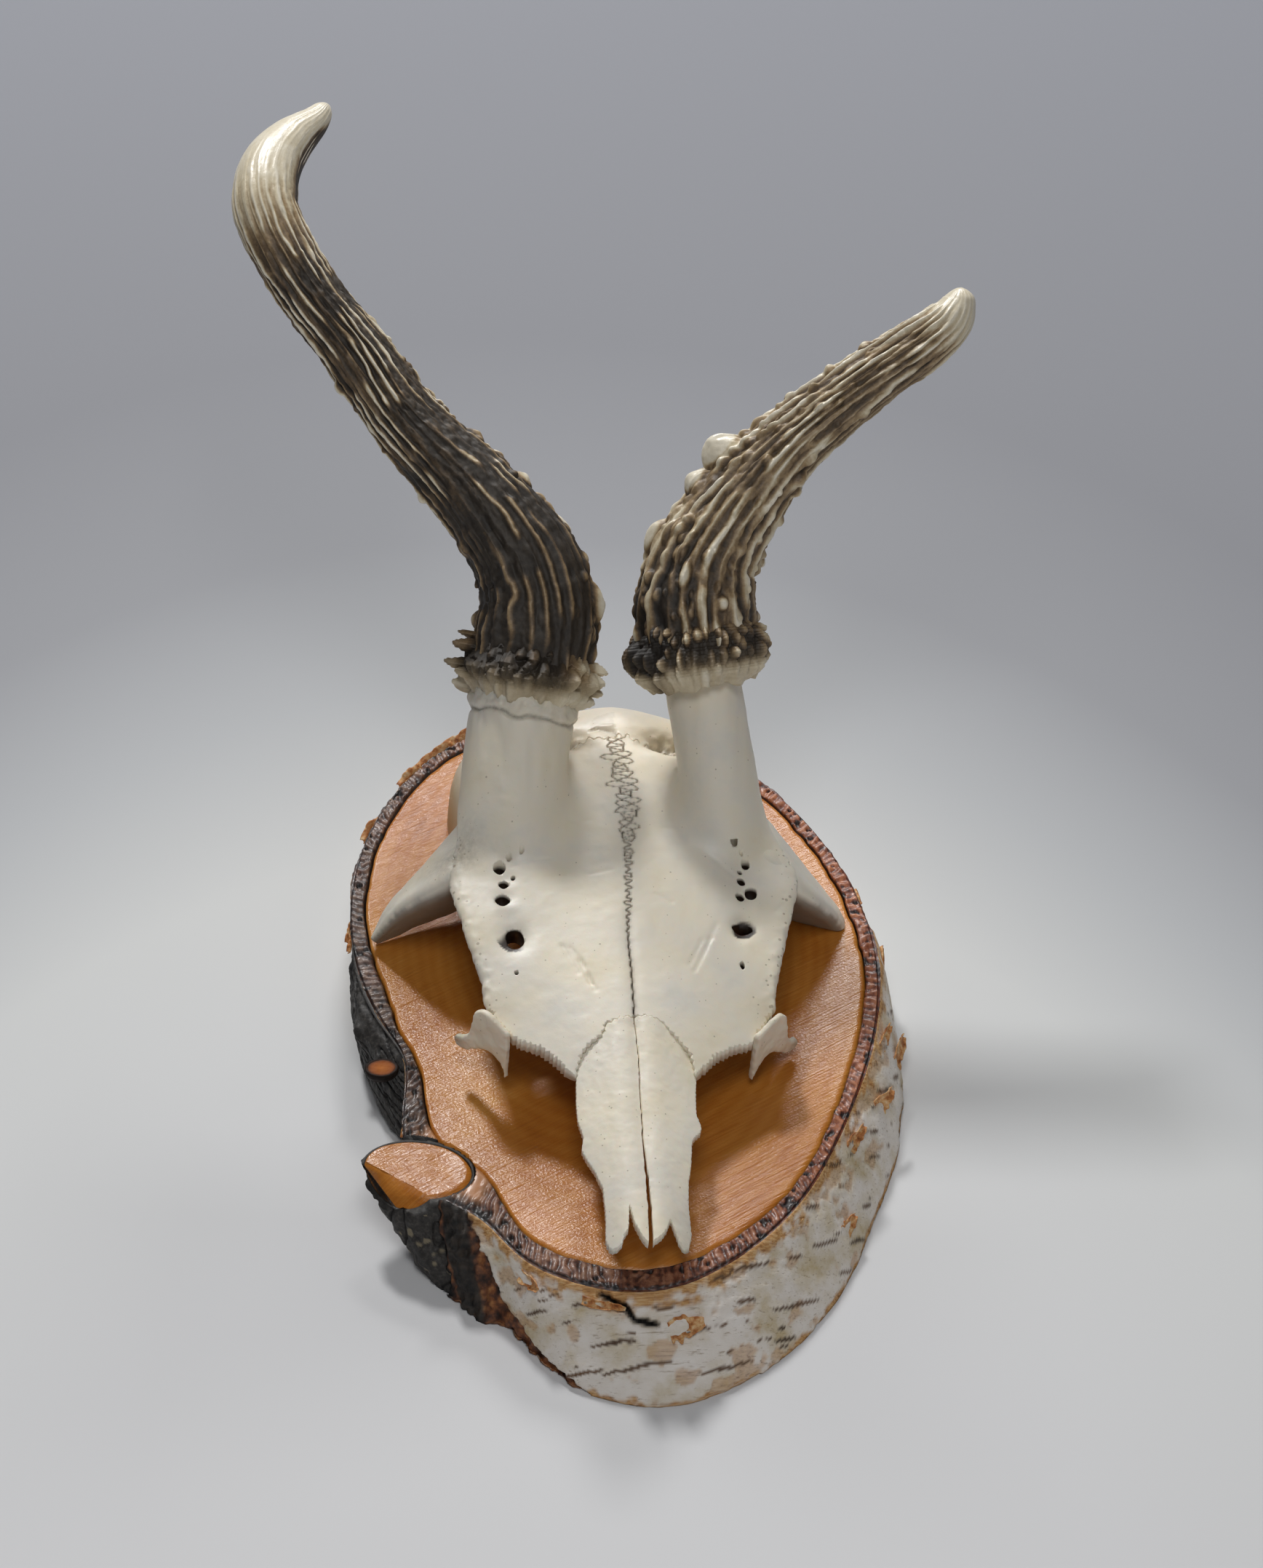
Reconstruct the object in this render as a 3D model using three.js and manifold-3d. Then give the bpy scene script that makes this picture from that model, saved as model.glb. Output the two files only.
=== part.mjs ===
// Roe deer trophy: a short-cut skull with two single-beam antlers on a slice of birch trunk.
// Millimetres. +Z points up out of the plaque's sawn face, +Y towards the antler tips, +X to the
// right of someone who faces the nose. The origin is the middle of the plaque's flat back.
import * as THREE from 'three';
import { mergeVertices } from 'three/addons/utils/BufferGeometryUtils.js';
import Module from 'manifold-3d';

const wasm = await Module();
wasm.setup();

// ---------------------------------------------------------------- driving dimensions
const GAP = 0.3; // clear space kept between touching pieces

// plaque: an oblique slice, so its face and back are ovals and its side leans
const PLAQUE = {
  thickness: 14,
  half: [52.6, 82.4], // half width and half length of the bark's edge on the face
  centre: [0, 0.8],
  lean: 1.5, // degrees that the oval leans to the left at its top
  backShift: [3.5, -15.5], // where the trunk's slant carries the back from the face
  bark: 4.2, // thickness of the bark band on the face
  sides: 96,
};
// bark's outer wall as [height, inset], its inset at the face, and its swell and dip
const BARK = { wall: [[0, 1], [4, 0.4], [10, 0.4], [13.2, 0.8]], rimInset: 1.2, ripple: 0.3 };
// branch scar: where it starts and ends in degrees round the oval, its clearance to the bark, the
// heights of its back, and its skin as [height, share of the thickness] over a thin edge
const SCAR = {
  from: 173,
  to: 205,
  rows: 14,
  thick: 3.6,
  edge: 0.35,
  clear: 0.7,
  back: [0.6, 5, 12.4],
  skin: [[11.6, 0.75], [8, 1], [1.2, 0.7]],
};
// the sawn side branch: half sizes on the face, turn, slide of its foot, bark and sides
const STUB = {
  centre: [-37.3, -50.6],
  half: [9.9, 6.8],
  tilt: -14,
  shift: [11, -13],
  bark: 1.6,
  sides: 28,
};
// a second, steeper cut at the stub's outer end
const FACET = { corner: [-47.5, -47.5], heading: -38, slope: 43 };

// skull: it lies on the face, nose towards -Y, and is screwed down a little rolled to the right
const SKULL = { x: 4, roll: 4.5, rollHeight: 20 };
const FLOOR = 0.3; // the sawn bone's clearance over the plaque
const ROOT_DEPTH = 1.6; // how deep a pedicle's root starts inside the roof

// heights above the face along the middle of the roof, from the nose to the back of the head
const ROOF_MIDLINE = [[-85, 8.6], [-60, 13.2], [-31.5, 18], [-10, 20.6], [12, 23.6], [30, 26.6], [37, 27],
  [44, 25], [51, 20.4], [58, 13.5], [64, 6.5], [68, 0]];
// how far the roof falls from its middle to its edge, and how the fall is shaped
const ROOF_FALL = [[-45, 8.5], [-33, 5.6], [-22, 3], [-8, 2.2], [10, 3.6], [24, 5.5], [40, 8]];
const ROOF_CURVE = [[-42, 1.3], [-25, 1.8], [0, 2.3], [40, 2.2]];
// half width of the forehead: in front of the eyes, between them, and behind them
const FOREHEAD_HALF = [[-45, 27.2], [-28, 27.2], [-22, 27.6], [-14, 29.6], [-6, 31.4], [0, 33], [7, 34],
  [14, 32.2], [22, 28.5], [30, 26.5], [42, 26]];
const FOREHEAD_THICK = [5.4, 2.4]; // at the middle and at the rim of the eye socket
const FRONT_EDGE_THICK = [1.2, 7]; // how thin the broken front edge is, and how far back it thickens
// front edge of one frontal bone, from the nasion out to the eye socket: [across, along]
const FRONTAL_FRONT = [[0, -31.5], [3, -32.4], [6.5, -35.1], [9.9, -38], [11, -42.4], [14.4, -39.6],
  [17.5, -36.8], [19.9, -35.4], [22.2, -34], [27.2, -28]];
const FRONTAL_BACK = [36.6, 33.5]; // its back edge at the middle and at the side
const FRONTAL_LENGTH = 68; // nasion to its back edge
const FORAMEN = { x: 21.4, y: -12.2, radius: 1.9 }; // the large supraorbital hole

const NASAL = {
  half: [[-82, 5.9], [-74, 7.4], [-66, 9.2], [-55, 11.2], [-43, 11], [-30, 10.8]],
  fall: 3.2,
  thick: [2, 1.2],
  splitTip: 1.1, // half width of the open cleft between the two bones at their tips
  // front edge of one bone, from the cleft to the outer side: [share of the width, along]
  front: [[0, -74.8], [0.12, -76.8], [0.35, -74], [0.55, -71.5], [0.75, -75.6], [0.88, -78.3], [1, -77.6]],
  backHalf: 10.9, // half width of the pair where they meet the frontals
};

// outline of one lacrimal plate: [along the plate from its front tip, height above the face]
const LACRIMAL = {
  tip: [22.5, -33.2],
  towards: [30.7, -25.6],
  outline: [[0, 3.6], [1.5, 6.2], [4.2, 7.8], [7.2, 6.6], [10.2, 4], [12.2, 4.4], [12.4, 6], [10.6, 6.8],
    [9.4, 8.2], [8.6, 10.4], [7.7, 14], [4, 13.8], [0.6, 13.2], [0.1, 9.5]],
  thick: 1.8,
};

// the bony arch behind each eye: its outer edge, its inner edge and half its thickness
const ORBIT_ARCH = [
  [[29.5, 14.5, 19], [29.5, 4, 18.2], 1.2],
  [[34.8, 11.2, 16.4], [34, 4, 13.4], 1.4],
  [[39.4, 9.3, 12.2], [38.2, 6, 7.2], 1.3],
  [[42.7, 7.8, 8.2], [41.6, 5.6, 5], 1.1],
  [[45.3, 4.8, 4.4], [44.7, 4.2, 3.4], 0.7],
];

// braincase: half widths along the skull, and where its bones meet
const BRAINCASE_HALF = [[-24, 9], [-8, 12], [6, 15], [16, 21], [26, 27.5], [36, 31], [47, 31], [56, 27.5],
  [63, 21], [67, 14]];
const BRAINCASE_RINGS = [-24, -15, -6, 3, 10, 17, 24, 31, 37, 42, 47, 52, 56, 60, 63, 65, 67];
const SUTURES = { sphenoid: 8, occipital: 56, temporalHeight: 13, temporalSide: 21 };

// Antlers: the pedicle's root on the roof, and the line through the middle of burr and beam as
// [across, along, height, half thickness]. Pearls are [share of the beam, degrees round it from the
// right side, height, reach].
const ANTLERS = {
  left: {
    side: -1,
    root: { centre: [-21.8, 15.5], half: [10.6, 13.5] },
    burr: { height: 10, half: 14.6, lumps: 11 },
    line: [[-18.7, 35, 37.4, 10.2], [-17.6, 39.2, 42.2, 10.6], [-16.6, 43.6, 47.4, 11.4],
      [-16.8, 48.1, 52.4, 10.9], [-19.3, 53.1, 57.5, 10.1], [-28.5, 62.5, 65.2, 8.4],
      [-40.9, 73.5, 72.6, 6.9], [-52.5, 86.1, 81.9, 6.2], [-62.2, 96.4, 89.1, 6.2],
      [-69.3, 108, 96.5, 6.4], [-70, 114.5, 98.8, 6.4], [-68.6, 121.5, 100.3, 5.9],
      [-65.2, 128.2, 101.3, 4.8], [-60.6, 134.6, 102, 3], [-57.8, 139.8, 102.8, 1]],
    pearls: [[0.04, 10, 1.8, 4], [0.12, 350, 1.6, 3.5], [0.2, 15, 1.8, 3.5], [0.27, 0, 1.4, 3],
      [0.36, 15, 1.6, 3.5], [0.47, 5, 1.1, 3], [0.1, 170, 1, 3.5], [0.24, 190, 0.9, 3]],
  },
  right: {
    side: 1,
    root: { centre: [20.6, 15.8], half: [9.4, 12.5] },
    burr: { height: 10.4, half: 14.4, lumps: 13 },
    line: [[15.5, 35.4, 42.2, 7.4], [14.5, 39.4, 47.2, 10], [13.8, 44, 52.4, 11.5],
      [14.2, 47.7, 56.5, 10.8], [15.7, 51.5, 61, 9.9], [22.4, 58.3, 69.5, 8.4], [32.5, 65.3, 78.8, 6.7],
      [44.9, 71.2, 87.3, 5.7], [57.2, 76.2, 94.7, 5.1], [61.7, 78.6, 98, 3.8], [64.2, 80.5, 100.6, 2.4],
      [64.6, 83, 103.4, 1.2]],
    pearls: [[0.1, 185, 1.6, 3.5], [0.25, 180, 1.8, 3.2], [0.37, 185, 1.8, 3.2], [0.42, 180, 3.2, 3.4],
      [0.59, 175, 1.3, 3], [0.76, 180, 1.2, 2.8], [0.3, 10, 2.4, 3], [0.12, 0, 1.2, 3.5]],
  },
};

// each material's colour and roughness
const FINISH = {
  wood: [0xb97842, 0.35],
  bark: [0x8f857a, 0.8],
  scar: [0x2b2825, 0.7],
  stubBark: [0x33302c, 0.75],
  bone: [0xe2dccb, 0.6],
  burr: [0x8a7a61, 0.7],
  beam: [0x5f5140, 0.6],
};

// ---------------------------------------------------------------- small tools
const radians = THREE.MathUtils.degToRad;
const mix = THREE.MathUtils.lerp;

// A smooth curve through [position, value] pairs, held level past both ends.
function follow(knots) {
  return (s) => {
    const last = knots.length - 1;
    if (s <= knots[0][0]) return knots[0][1];
    if (s >= knots[last][0]) return knots[last][1];
    let i = 0;
    while (s > knots[i + 1][0]) i += 1;
    const slope = (a, b) => (knots[b][1] - knots[a][1]) / (knots[b][0] - knots[a][0]);
    const span = knots[i + 1][0] - knots[i][0];
    const m0 = (i > 0 ? slope(i - 1, i + 1) : slope(i, i + 1)) * span;
    const m1 = (i + 1 < last ? slope(i, i + 2) : slope(i, i + 1)) * span;
    const t = (s - knots[i][0]) / span;
    const rise = 3 * t * t - 2 * t * t * t;
    return mix(knots[i][1], knots[i + 1][1], rise) + m0 * t * (1 - t) ** 2 - m1 * t * t * (1 - t);
  };
}

// Straight lines through [position, value] pairs.
function zigzag(knots) {
  return (s) => {
    let i = 1;
    while (i < knots.length - 1 && s > knots[i][0]) i += 1;
    const [a, b] = [knots[i - 1], knots[i]];
    return mix(a[1], b[1], (s - a[0]) / (b[0] - a[0]));
  };
}

// A closed body from rings of points. Its ends are fans, strips across thin rings, or joined round.
function loft(rings, ends = 'fan') {
  const n = rings[0].length;
  const points = rings.flat().map((p) => [...p]);
  const faces = [];
  const count = ends === 'joined' ? rings.length : rings.length - 1;
  for (let r = 0; r < count; r += 1) {
    const next = ((r + 1) % rings.length) * n;
    for (let i = 0; i < n; i += 1) {
      const j = (i + 1) % n;
      faces.push([r * n + i, r * n + j, next + j], [r * n + i, next + j, next + i]);
    }
  }
  for (const [r, flip] of ends === 'joined' ? [] : [[0, true], [rings.length - 1, false]]) {
    const cap = [];
    if (ends === 'fan') {
      const middle = [0, 1, 2].map((k) => rings[r].reduce((sum, p) => sum + p[k], 0) / n);
      points.push(middle);
      for (let i = 0; i < n; i += 1) cap.push([points.length - 1, r * n + i, r * n + ((i + 1) % n)]);
    } else {
      for (let i = 0; i < n / 2 - 1; i += 1) {
        const [a, b, c, d] = [i, i + 1, n - 2 - i, n - 1 - i].map((k) => r * n + k);
        cap.push([a, b, c], [a, c, d]);
      }
    }
    faces.push(...cap.map(([a, b, c]) => (flip ? [a, c, b] : [a, b, c])));
  }
  const vector = (i) => new THREE.Vector3(...points[i]);
  const volume = faces.reduce((sum, [a, b, c]) => sum + vector(a).dot(vector(b).cross(vector(c))), 0);
  const geometry = new THREE.BufferGeometry();
  geometry.setAttribute('position', new THREE.Float32BufferAttribute(points.flat(), 3));
  geometry.setIndex((volume < 0 ? faces.map(([a, b, c]) => [a, c, b]) : faces).flat());
  return geometry;
}

// A bent plate: upper(u, v) and lower(u, v) give its two faces.
function plate(columns, rows, upper, lower) {
  return loft(rows.map((v) => [
    ...columns.map((u) => upper(u, v)),
    ...columns.slice().reverse().map((u) => lower(u, v)),
  ]), 'strip');
}

const steps = (count) => Array.from({ length: count + 1 }, (_, i) => i / count);

function solid(geometry) {
  const bare = geometry.clone();
  bare.deleteAttribute('normal');
  bare.deleteAttribute('uv');
  const merged = mergeVertices(bare, 1e-4);
  return new wasm.Manifold(new wasm.Mesh({
    numProp: 3,
    vertProperties: new Float32Array(merged.attributes.position.array),
    triVerts: new Uint32Array(merged.index.array),
  }));
}

function surface(body) {
  const mesh = body.getMesh();
  const geometry = new THREE.BufferGeometry();
  geometry.setAttribute('position', new THREE.BufferAttribute(new Float32Array(mesh.vertProperties), 3));
  geometry.setIndex(Array.from(mesh.triVerts));
  return geometry;
}

function block(x0, x1, y0, y1, z0, z1) {
  return new THREE.BoxGeometry(x1 - x0, y1 - y0, z1 - z0)
    .translate((x0 + x1) / 2, (y0 + y1) / 2, (z0 + z1) / 2);
}

function piece(name, body, [color, roughness]) {
  const geometry = body.isBufferGeometry ? body : surface(body);
  const material = new THREE.MeshStandardMaterial({ color, roughness, metalness: 0 });
  const mesh = new THREE.Mesh(geometry, material);
  mesh.name = name;
  return mesh;
}

// ---------------------------------------------------------------- plaque
// A bump or dent of the outline: centre and width in degrees round the oval, depth as a share.
const swell = (turn, centre, width, depth) => {
  const away = ((turn - centre + 540) % 360) - 180;
  return depth * Math.exp(-((away / width) ** 2) / 2);
};

// Share of the oval's size at a turn: a blunt top, a fuller foot and right side, a pinched left.
const barkShare = (turn) => 1 + swell(turn, 75, 32, -0.125) + swell(turn, 0, 15, 0.035)
  + swell(turn, 325, 14, -0.022) + swell(turn, 272, 12, 0.026) + swell(turn, 174, 12, -0.03)
  + swell(turn, 202, 8, -0.13) + swell(turn, 236, 6, -0.05);
// Extra depth of bark at the foot, and of scar tissue that pushes the wood inwards on the left.
const scarDepth = (turn) => swell(turn, 265, 25, 2.3) + swell(turn, 186, 9, 4.5)
  + swell(turn, 211, 6, 2.5) + swell(turn, 227, 8, 6.5);

function plaquePoint(turn, inset, height) {
  const t = radians(turn);
  const share = barkShare(turn);
  const [x, y] = [PLAQUE.half[0] * share * Math.cos(t), PLAQUE.half[1] * share * Math.sin(t)];
  const size = 1 - inset / Math.hypot(x, y);
  const lean = radians(PLAQUE.lean);
  const slide = 1 - height / PLAQUE.thickness;
  return [
    PLAQUE.centre[0] + size * (x * Math.cos(lean) - y * Math.sin(lean)) + slide * PLAQUE.backShift[0],
    PLAQUE.centre[1] + size * (x * Math.sin(lean) + y * Math.cos(lean)) + slide * PLAQUE.backShift[1],
    height,
  ];
}

const turns = Array.from({ length: PLAQUE.sides }, (_, i) => (360 * i) / PLAQUE.sides);
const T = PLAQUE.thickness;

// The sawn side branch: it left the trunk at a narrow angle, so it leans in under the face.
function stubRings(extra, heights) {
  const lean = radians(STUB.tilt);
  return heights.map((z) => Array.from({ length: STUB.sides }, (_, i) => {
    const t = (2 * Math.PI * i) / STUB.sides;
    const [x, y] = [(STUB.half[0] + extra) * Math.cos(t), (STUB.half[1] + extra) * Math.sin(t)];
    const slide = 1 - z / T;
    return [
      STUB.centre[0] + x * Math.cos(lean) - y * Math.sin(lean) + slide * STUB.shift[0],
      STUB.centre[1] + x * Math.sin(lean) + y * Math.cos(lean) + slide * STUB.shift[1],
      z,
    ];
  }));
}

// The stub's wood is sawn flush with the face; its bark stops just below it.
const stubFacet = solid(block(-20, 30, -20, 0, 0, 20).rotateX(radians(FACET.slope))
  .rotateZ(radians(FACET.heading)).translate(...FACET.corner, T));
const stubWood = solid(loft(stubRings(0, [0, T]))).subtract(stubFacet);
const stubBark = solid(loft(stubRings(STUB.bark, [0, T / 2, T - 2 * GAP])))
  .subtract(solid(loft(stubRings(GAP, [-1, T + 1])))).subtract(stubFacet);

const stubSpace = solid(loft(stubRings(STUB.bark + GAP, [-1, T + 1])));
const woodEdge = (turn) => PLAQUE.bark + scarDepth(turn);
const wood = solid(loft([0, T].map((z) => turns.map((a) => plaquePoint(a, woodEdge(a) + GAP, z)))))
  .subtract(stubSpace);

// Bark: a closed band round the wood, with a rounded outer edge and a shallow swell and dip.
// It is thinner by scarSeat where the branch scar lies on it.
const scarSeat = (turn) => swell(turn, 190, 10, 4.6);
const ripple = (turn, row) => BARK.ripple * (Math.sin(radians(turn * 9 + row * 50))
  + 0.7 * Math.sin(radians(turn * 17)));
const barkWall = turns.map((a) => {
  const outer = BARK.wall.map(([z, inset], row) => plaquePoint(a, inset + scarSeat(a) + ripple(a, row), z));
  const rim = plaquePoint(a, BARK.rimInset + scarSeat(a), T);
  const inner = [T, 0].map((z) => plaquePoint(a, woodEdge(a), z));
  return [...outer, rim, ...inner];
});
const bark = solid(loft(barkWall, 'joined')).subtract(stubSpace);

// Scar: a dark, furrowed lens of callus on the left side, thickest at half height.
const scarRings = Array.from({ length: SCAR.rows + 1 }, (_, i) => {
  const a = mix(SCAR.from, SCAR.to, i / SCAR.rows);
  const bulge = SCAR.thick * Math.sin((Math.PI * i) / SCAR.rows) ** 0.6;
  const point = (z, rise) => plaquePoint(a, scarSeat(a) - SCAR.clear - rise, z);
  return [
    ...SCAR.back.map((z) => point(z, 0)),
    ...SCAR.skin.map(([z, share]) => point(z, SCAR.edge + bulge * share)),
  ];
});
const scar = solid(loft(scarRings)).subtract(stubSpace);

// ---------------------------------------------------------------- skull
const roofMiddle = follow(ROOF_MIDLINE);
const roofFall = follow(ROOF_FALL);
const roofCurve = follow(ROOF_CURVE);
const foreheadHalf = follow(FOREHEAD_HALF);
const frontalFront = zigzag(FRONTAL_FRONT);

function roof(x, y) {
  const share = Math.abs(x) / foreheadHalf(y);
  return roofMiddle(y) - roofFall(y) * share ** roofCurve(y);
}

// One frontal plate; grow makes it larger all round, to cut its neighbours with a gap.
function frontalPlate(side, grow = 0) {
  const widest = FRONTAL_FRONT[FRONTAL_FRONT.length - 1][0];
  const columns = FRONTAL_FRONT.map(([x]) => x / widest);
  const at = (u, v, lift) => {
    const y = mix(frontalFront(u * widest) - grow, mix(...FRONTAL_BACK, u) + grow, v);
    const inner = GAP / 2 - grow;
    const x = mix(inner, foreheadHalf(y) + grow, u);
    return [side * x, y, roof(x, y) + lift];
  };
  const [edge, run] = FRONT_EDGE_THICK;
  const full = (u) => mix(...FOREHEAD_THICK, u ** 1.5);
  const thick = (u, v) => mix(edge, full(u), Math.min(1, (v * FRONTAL_LENGTH) / run));
  const upper = (u, v) => at(u, v, grow);
  const lower = (u, v) => at(u, v, -thick(u, v) - grow);
  return solid(plate(columns, steps(15), upper, lower));
}

// The middle line of an antler, from the pedicle's top to the tip.
function antlerSpine({ line }) {
  const points = line.map(([x, y, z]) => new THREE.Vector3(x, y, z));
  const curve = new THREE.CatmullRomCurve3(points, false, 'centripetal');
  const half = follow(line.map((p, i) => [i / (line.length - 1), p[3]]));
  const length = curve.getLength();
  // A ring round the line at a distance from its start; reach(share, degrees) gives its radius.
  const ring = (distance, sides, reach, forward = 0) => {
    const at = Math.min(1, Math.max(0, distance / length));
    const middle = curve.getPointAt(at);
    const tangent = curve.getTangentAt(at);
    const across = new THREE.Vector3(1, 0, 0).addScaledVector(tangent, -tangent.x).normalize();
    const deep = tangent.clone().cross(across);
    middle.addScaledVector(tangent, forward);
    return Array.from({ length: sides }, (_, i) => {
      const turn = (2 * Math.PI * i) / sides;
      const r = reach(half(curve.getUtoTmapping(at)), THREE.MathUtils.radToDeg(turn));
      return middle.clone().addScaledVector(across, r * Math.cos(turn))
        .addScaledVector(deep, r * Math.sin(turn)).toArray();
    });
  };
  return { length, ring };
}

// The pedicle grows out of the plate: a wide root on the roof, then a round stem up to the burr.
function pedicle(antler, grow = 0) {
  const { centre, half } = antler.root;
  const sides = 20;
  const head = antlerSpine(antler).ring(0, sides, (r) => r + grow, grow);
  const top = new THREE.Vector3();
  for (const p of head) top.addScaledVector(new THREE.Vector3(...p), 1 / sides);
  const middle = new THREE.Vector3(...centre, roof(...centre) - ROOT_DEPTH);
  const rings = steps(7).map((s) => head.map((point, i) => {
    const turn = (2 * Math.PI * i) / sides;
    const foot = [
      centre[0] + (half[0] + grow) * Math.cos(turn),
      centre[1] + (half[1] + grow) * Math.sin(turn),
    ];
    const out = new THREE.Vector3(...foot, roof(...foot) - ROOT_DEPTH).sub(middle);
    out.lerp(new THREE.Vector3(...point).sub(top), 1 - (1 - s) ** 2.4);
    return middle.clone().lerp(top, s).add(out).toArray();
  }));
  return solid(loft(rings));
}

const foramen = (side) => solid(new THREE.CylinderGeometry(FORAMEN.radius, FORAMEN.radius, 30, 12)
  .rotateX(Math.PI / 2).translate(side * FORAMEN.x, FORAMEN.y, 20));
const frontal = (antler, grow = 0) => frontalPlate(antler.side, grow).add(pedicle(antler, grow));
const bothFrontals = frontal(ANTLERS.left, GAP).add(frontal(ANTLERS.right, GAP));

// The plaque's face seen from the skull's own frame: every bone is sawn off flush with it.
const skullPlace = new THREE.Matrix4().makeTranslation(SKULL.x, 0, T + SKULL.rollHeight)
  .multiply(new THREE.Matrix4().makeRotationY(radians(SKULL.roll)))
  .multiply(new THREE.Matrix4().makeTranslation(0, 0, -SKULL.rollHeight));
const underFace = solid(block(-90, 90, -120, 120, T + FLOOR - 60, T + FLOOR)
  .applyMatrix4(skullPlace.clone().invert()));

// Nasal bone: a long roof tile with a forked front end; a cleft opens between the pair.
const nasalHalf = follow(NASAL.half);
const nasalFront = zigzag(NASAL.front);
const nasalCleft = follow([[-79, NASAL.splitTip], [-62, GAP / 2]]);
function nasal(side) {
  const columns = NASAL.front.map(([u]) => u);
  const at = (u, v, drop) => {
    const back = frontalFront(u * NASAL.backHalf) - GAP;
    const y = mix(back, nasalFront(u), v);
    const x = mix(nasalCleft(y), nasalHalf(y), u);
    return [side * x, y, roofMiddle(y) - NASAL.fall * (x / nasalHalf(y)) ** 2 - drop];
  };
  return solid(plate(columns, steps(14), (u, v) => at(u, v, 0), (u, v) => at(u, v, mix(...NASAL.thick, u))))
    .subtract(bothFrontals);
}

// Lacrimal bone: what is left of it is a thin upright plate with a hook, under the forehead's corner.
function lacrimal(side) {
  const [[x0, y0], [x1, y1]] = [LACRIMAL.tip, LACRIMAL.towards];
  const along = new THREE.Vector3(x1 - x0, y1 - y0, 0).normalize();
  const up = new THREE.Vector3(0, 0, 1);
  const shape = new THREE.Shape(LACRIMAL.outline.map(([s, z]) => new THREE.Vector2(s, z)));
  const geometry = new THREE.ExtrudeGeometry(shape, { depth: LACRIMAL.thick, bevelEnabled: false });
  const frame = new THREE.Matrix4().makeBasis(along, up, along.clone().cross(up)).setPosition(x0, y0, 0);
  geometry.applyMatrix4(frame);
  const body = solid(geometry);
  return (side > 0 ? body : body.mirror([1, 0, 0])).subtract(bothFrontals).subtract(underFace);
}

// Arch behind the eye: a curved blade that leaves the forehead's edge and ends in a point.
function orbitArch(side) {
  const rings = ORBIT_ARCH.map(([outer, inner, half], k) => {
    const before = ORBIT_ARCH[Math.max(0, k - 1)];
    const after = ORBIT_ARCH[Math.min(ORBIT_ARCH.length - 1, k + 1)];
    const centre = ([o, i]) => new THREE.Vector3(...o).add(new THREE.Vector3(...i)).multiplyScalar(0.5);
    const run = centre(after).sub(centre(before));
    const wide = new THREE.Vector3(...outer).sub(new THREE.Vector3(...inner)).multiplyScalar(0.5);
    const thick = run.cross(wide).normalize().multiplyScalar(half);
    return Array.from({ length: 12 }, (_, i) => {
      const t = (2 * Math.PI * i) / 12;
      const point = centre([outer, inner]);
      point.addScaledVector(wide, Math.cos(t)).addScaledVector(thick, Math.sin(t));
      return [side * point.x, point.y, point.z];
    });
  });
  return solid(loft(rings)).subtract(bothFrontals).subtract(underFace);
}

// Braincase and the wall between the eye sockets, filled down to the sawn base.
const braincaseHalf = follow(BRAINCASE_HALF);
const braincaseRings = BRAINCASE_RINGS.map((y) => {
  const half = braincaseHalf(y);
  const squareness = y < 10 ? 0.35 : mix(0.75, 0.6, Math.min(1, (y - 10) / 30));
  const arch = Array.from({ length: 17 }, (_, i) => {
    const t = Math.PI * (1 - i / 16);
    const x = half * Math.sign(Math.cos(t)) * Math.abs(Math.cos(t)) ** 0.85;
    return [x, y, (roofMiddle(y) - 0.4) * Math.sin(t) ** squareness];
  });
  return [[-half, y, -8], ...arch, [half, y, -8]];
});

// Parts a body in two along a cutter, with the gap of a suture between them.
function part(body, cutter) {
  return [body.intersect(cutter(-GAP / 2)), body.subtract(cutter(GAP / 2))];
}
const wholeCase = solid(loft(braincaseRings)).subtract(underFace).subtract(bothFrontals);
const [wall, domed] = part(wholeCase, (g) => solid(block(-60, 60, -60, SUTURES.sphenoid + g, -60, 60)));
const [occipital, crown] = part(domed, (g) => solid(block(-60, 60, SUTURES.occipital - g, 120, -60, 60)
  .rotateX(radians(-8))));
const temporalCutter = (side) => (g) => solid(block(-25, 25, -60, 100, -60, SUTURES.temporalHeight + g)
  .translate(side * (SUTURES.temporalSide + 25 - g), 0, 0).rotateY(radians(-12 * side)));
const [temporalRight, crownLeft] = part(crown, temporalCutter(1));
const [temporalLeft, parietal] = part(crownLeft, temporalCutter(-1));

// Burr: the knobbly crown of bone round the antler's foot.
function burr(antler) {
  const { ring } = antlerSpine(antler);
  const { height, half, lumps } = antler.burr;
  const swellAt = follow([[0, 0.74], [0.15, 0.92], [0.4, 1], [0.7, 0.97], [1, 0.86]]);
  const levels = [0, 0.12, 0.3, 0.5, 0.7, 0.88, 1];
  const knob = (turn, row) => 0.055 * Math.sin(radians(turn * lumps + row * 70))
    + 0.03 * Math.sin(radians(turn * 5 + row * 130));
  return loft(levels.map((s, row) => ring(mix(GAP, height, s), 28, (r, turn) => {
    const knobbly = row > 0 && row < levels.length - 1;
    return half * (swellAt(s) + (knobbly ? knob(turn, row) : 0));
  })));
}

// Beam: a tapering, bent stem that carries coarse pearls.
function beam(antler) {
  const { ring, length } = antlerSpine(antler);
  const start = antler.burr.height + GAP;
  const rows = 38;
  return loft(steps(rows).map((s) => ring(mix(start, length, s), 18, (r, turn) => {
    const rise = antler.pearls.map(([share, angle, height, reach]) => {
      const round = radians(((turn - angle + 540) % 360) - 180) * r;
      const away = Math.hypot(round, (s - share) * (length - start));
      return height * Math.exp(-((away / reach) ** 2) * 1.6);
    });
    return r + Math.max(0, ...rise);
  })));
}

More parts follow.
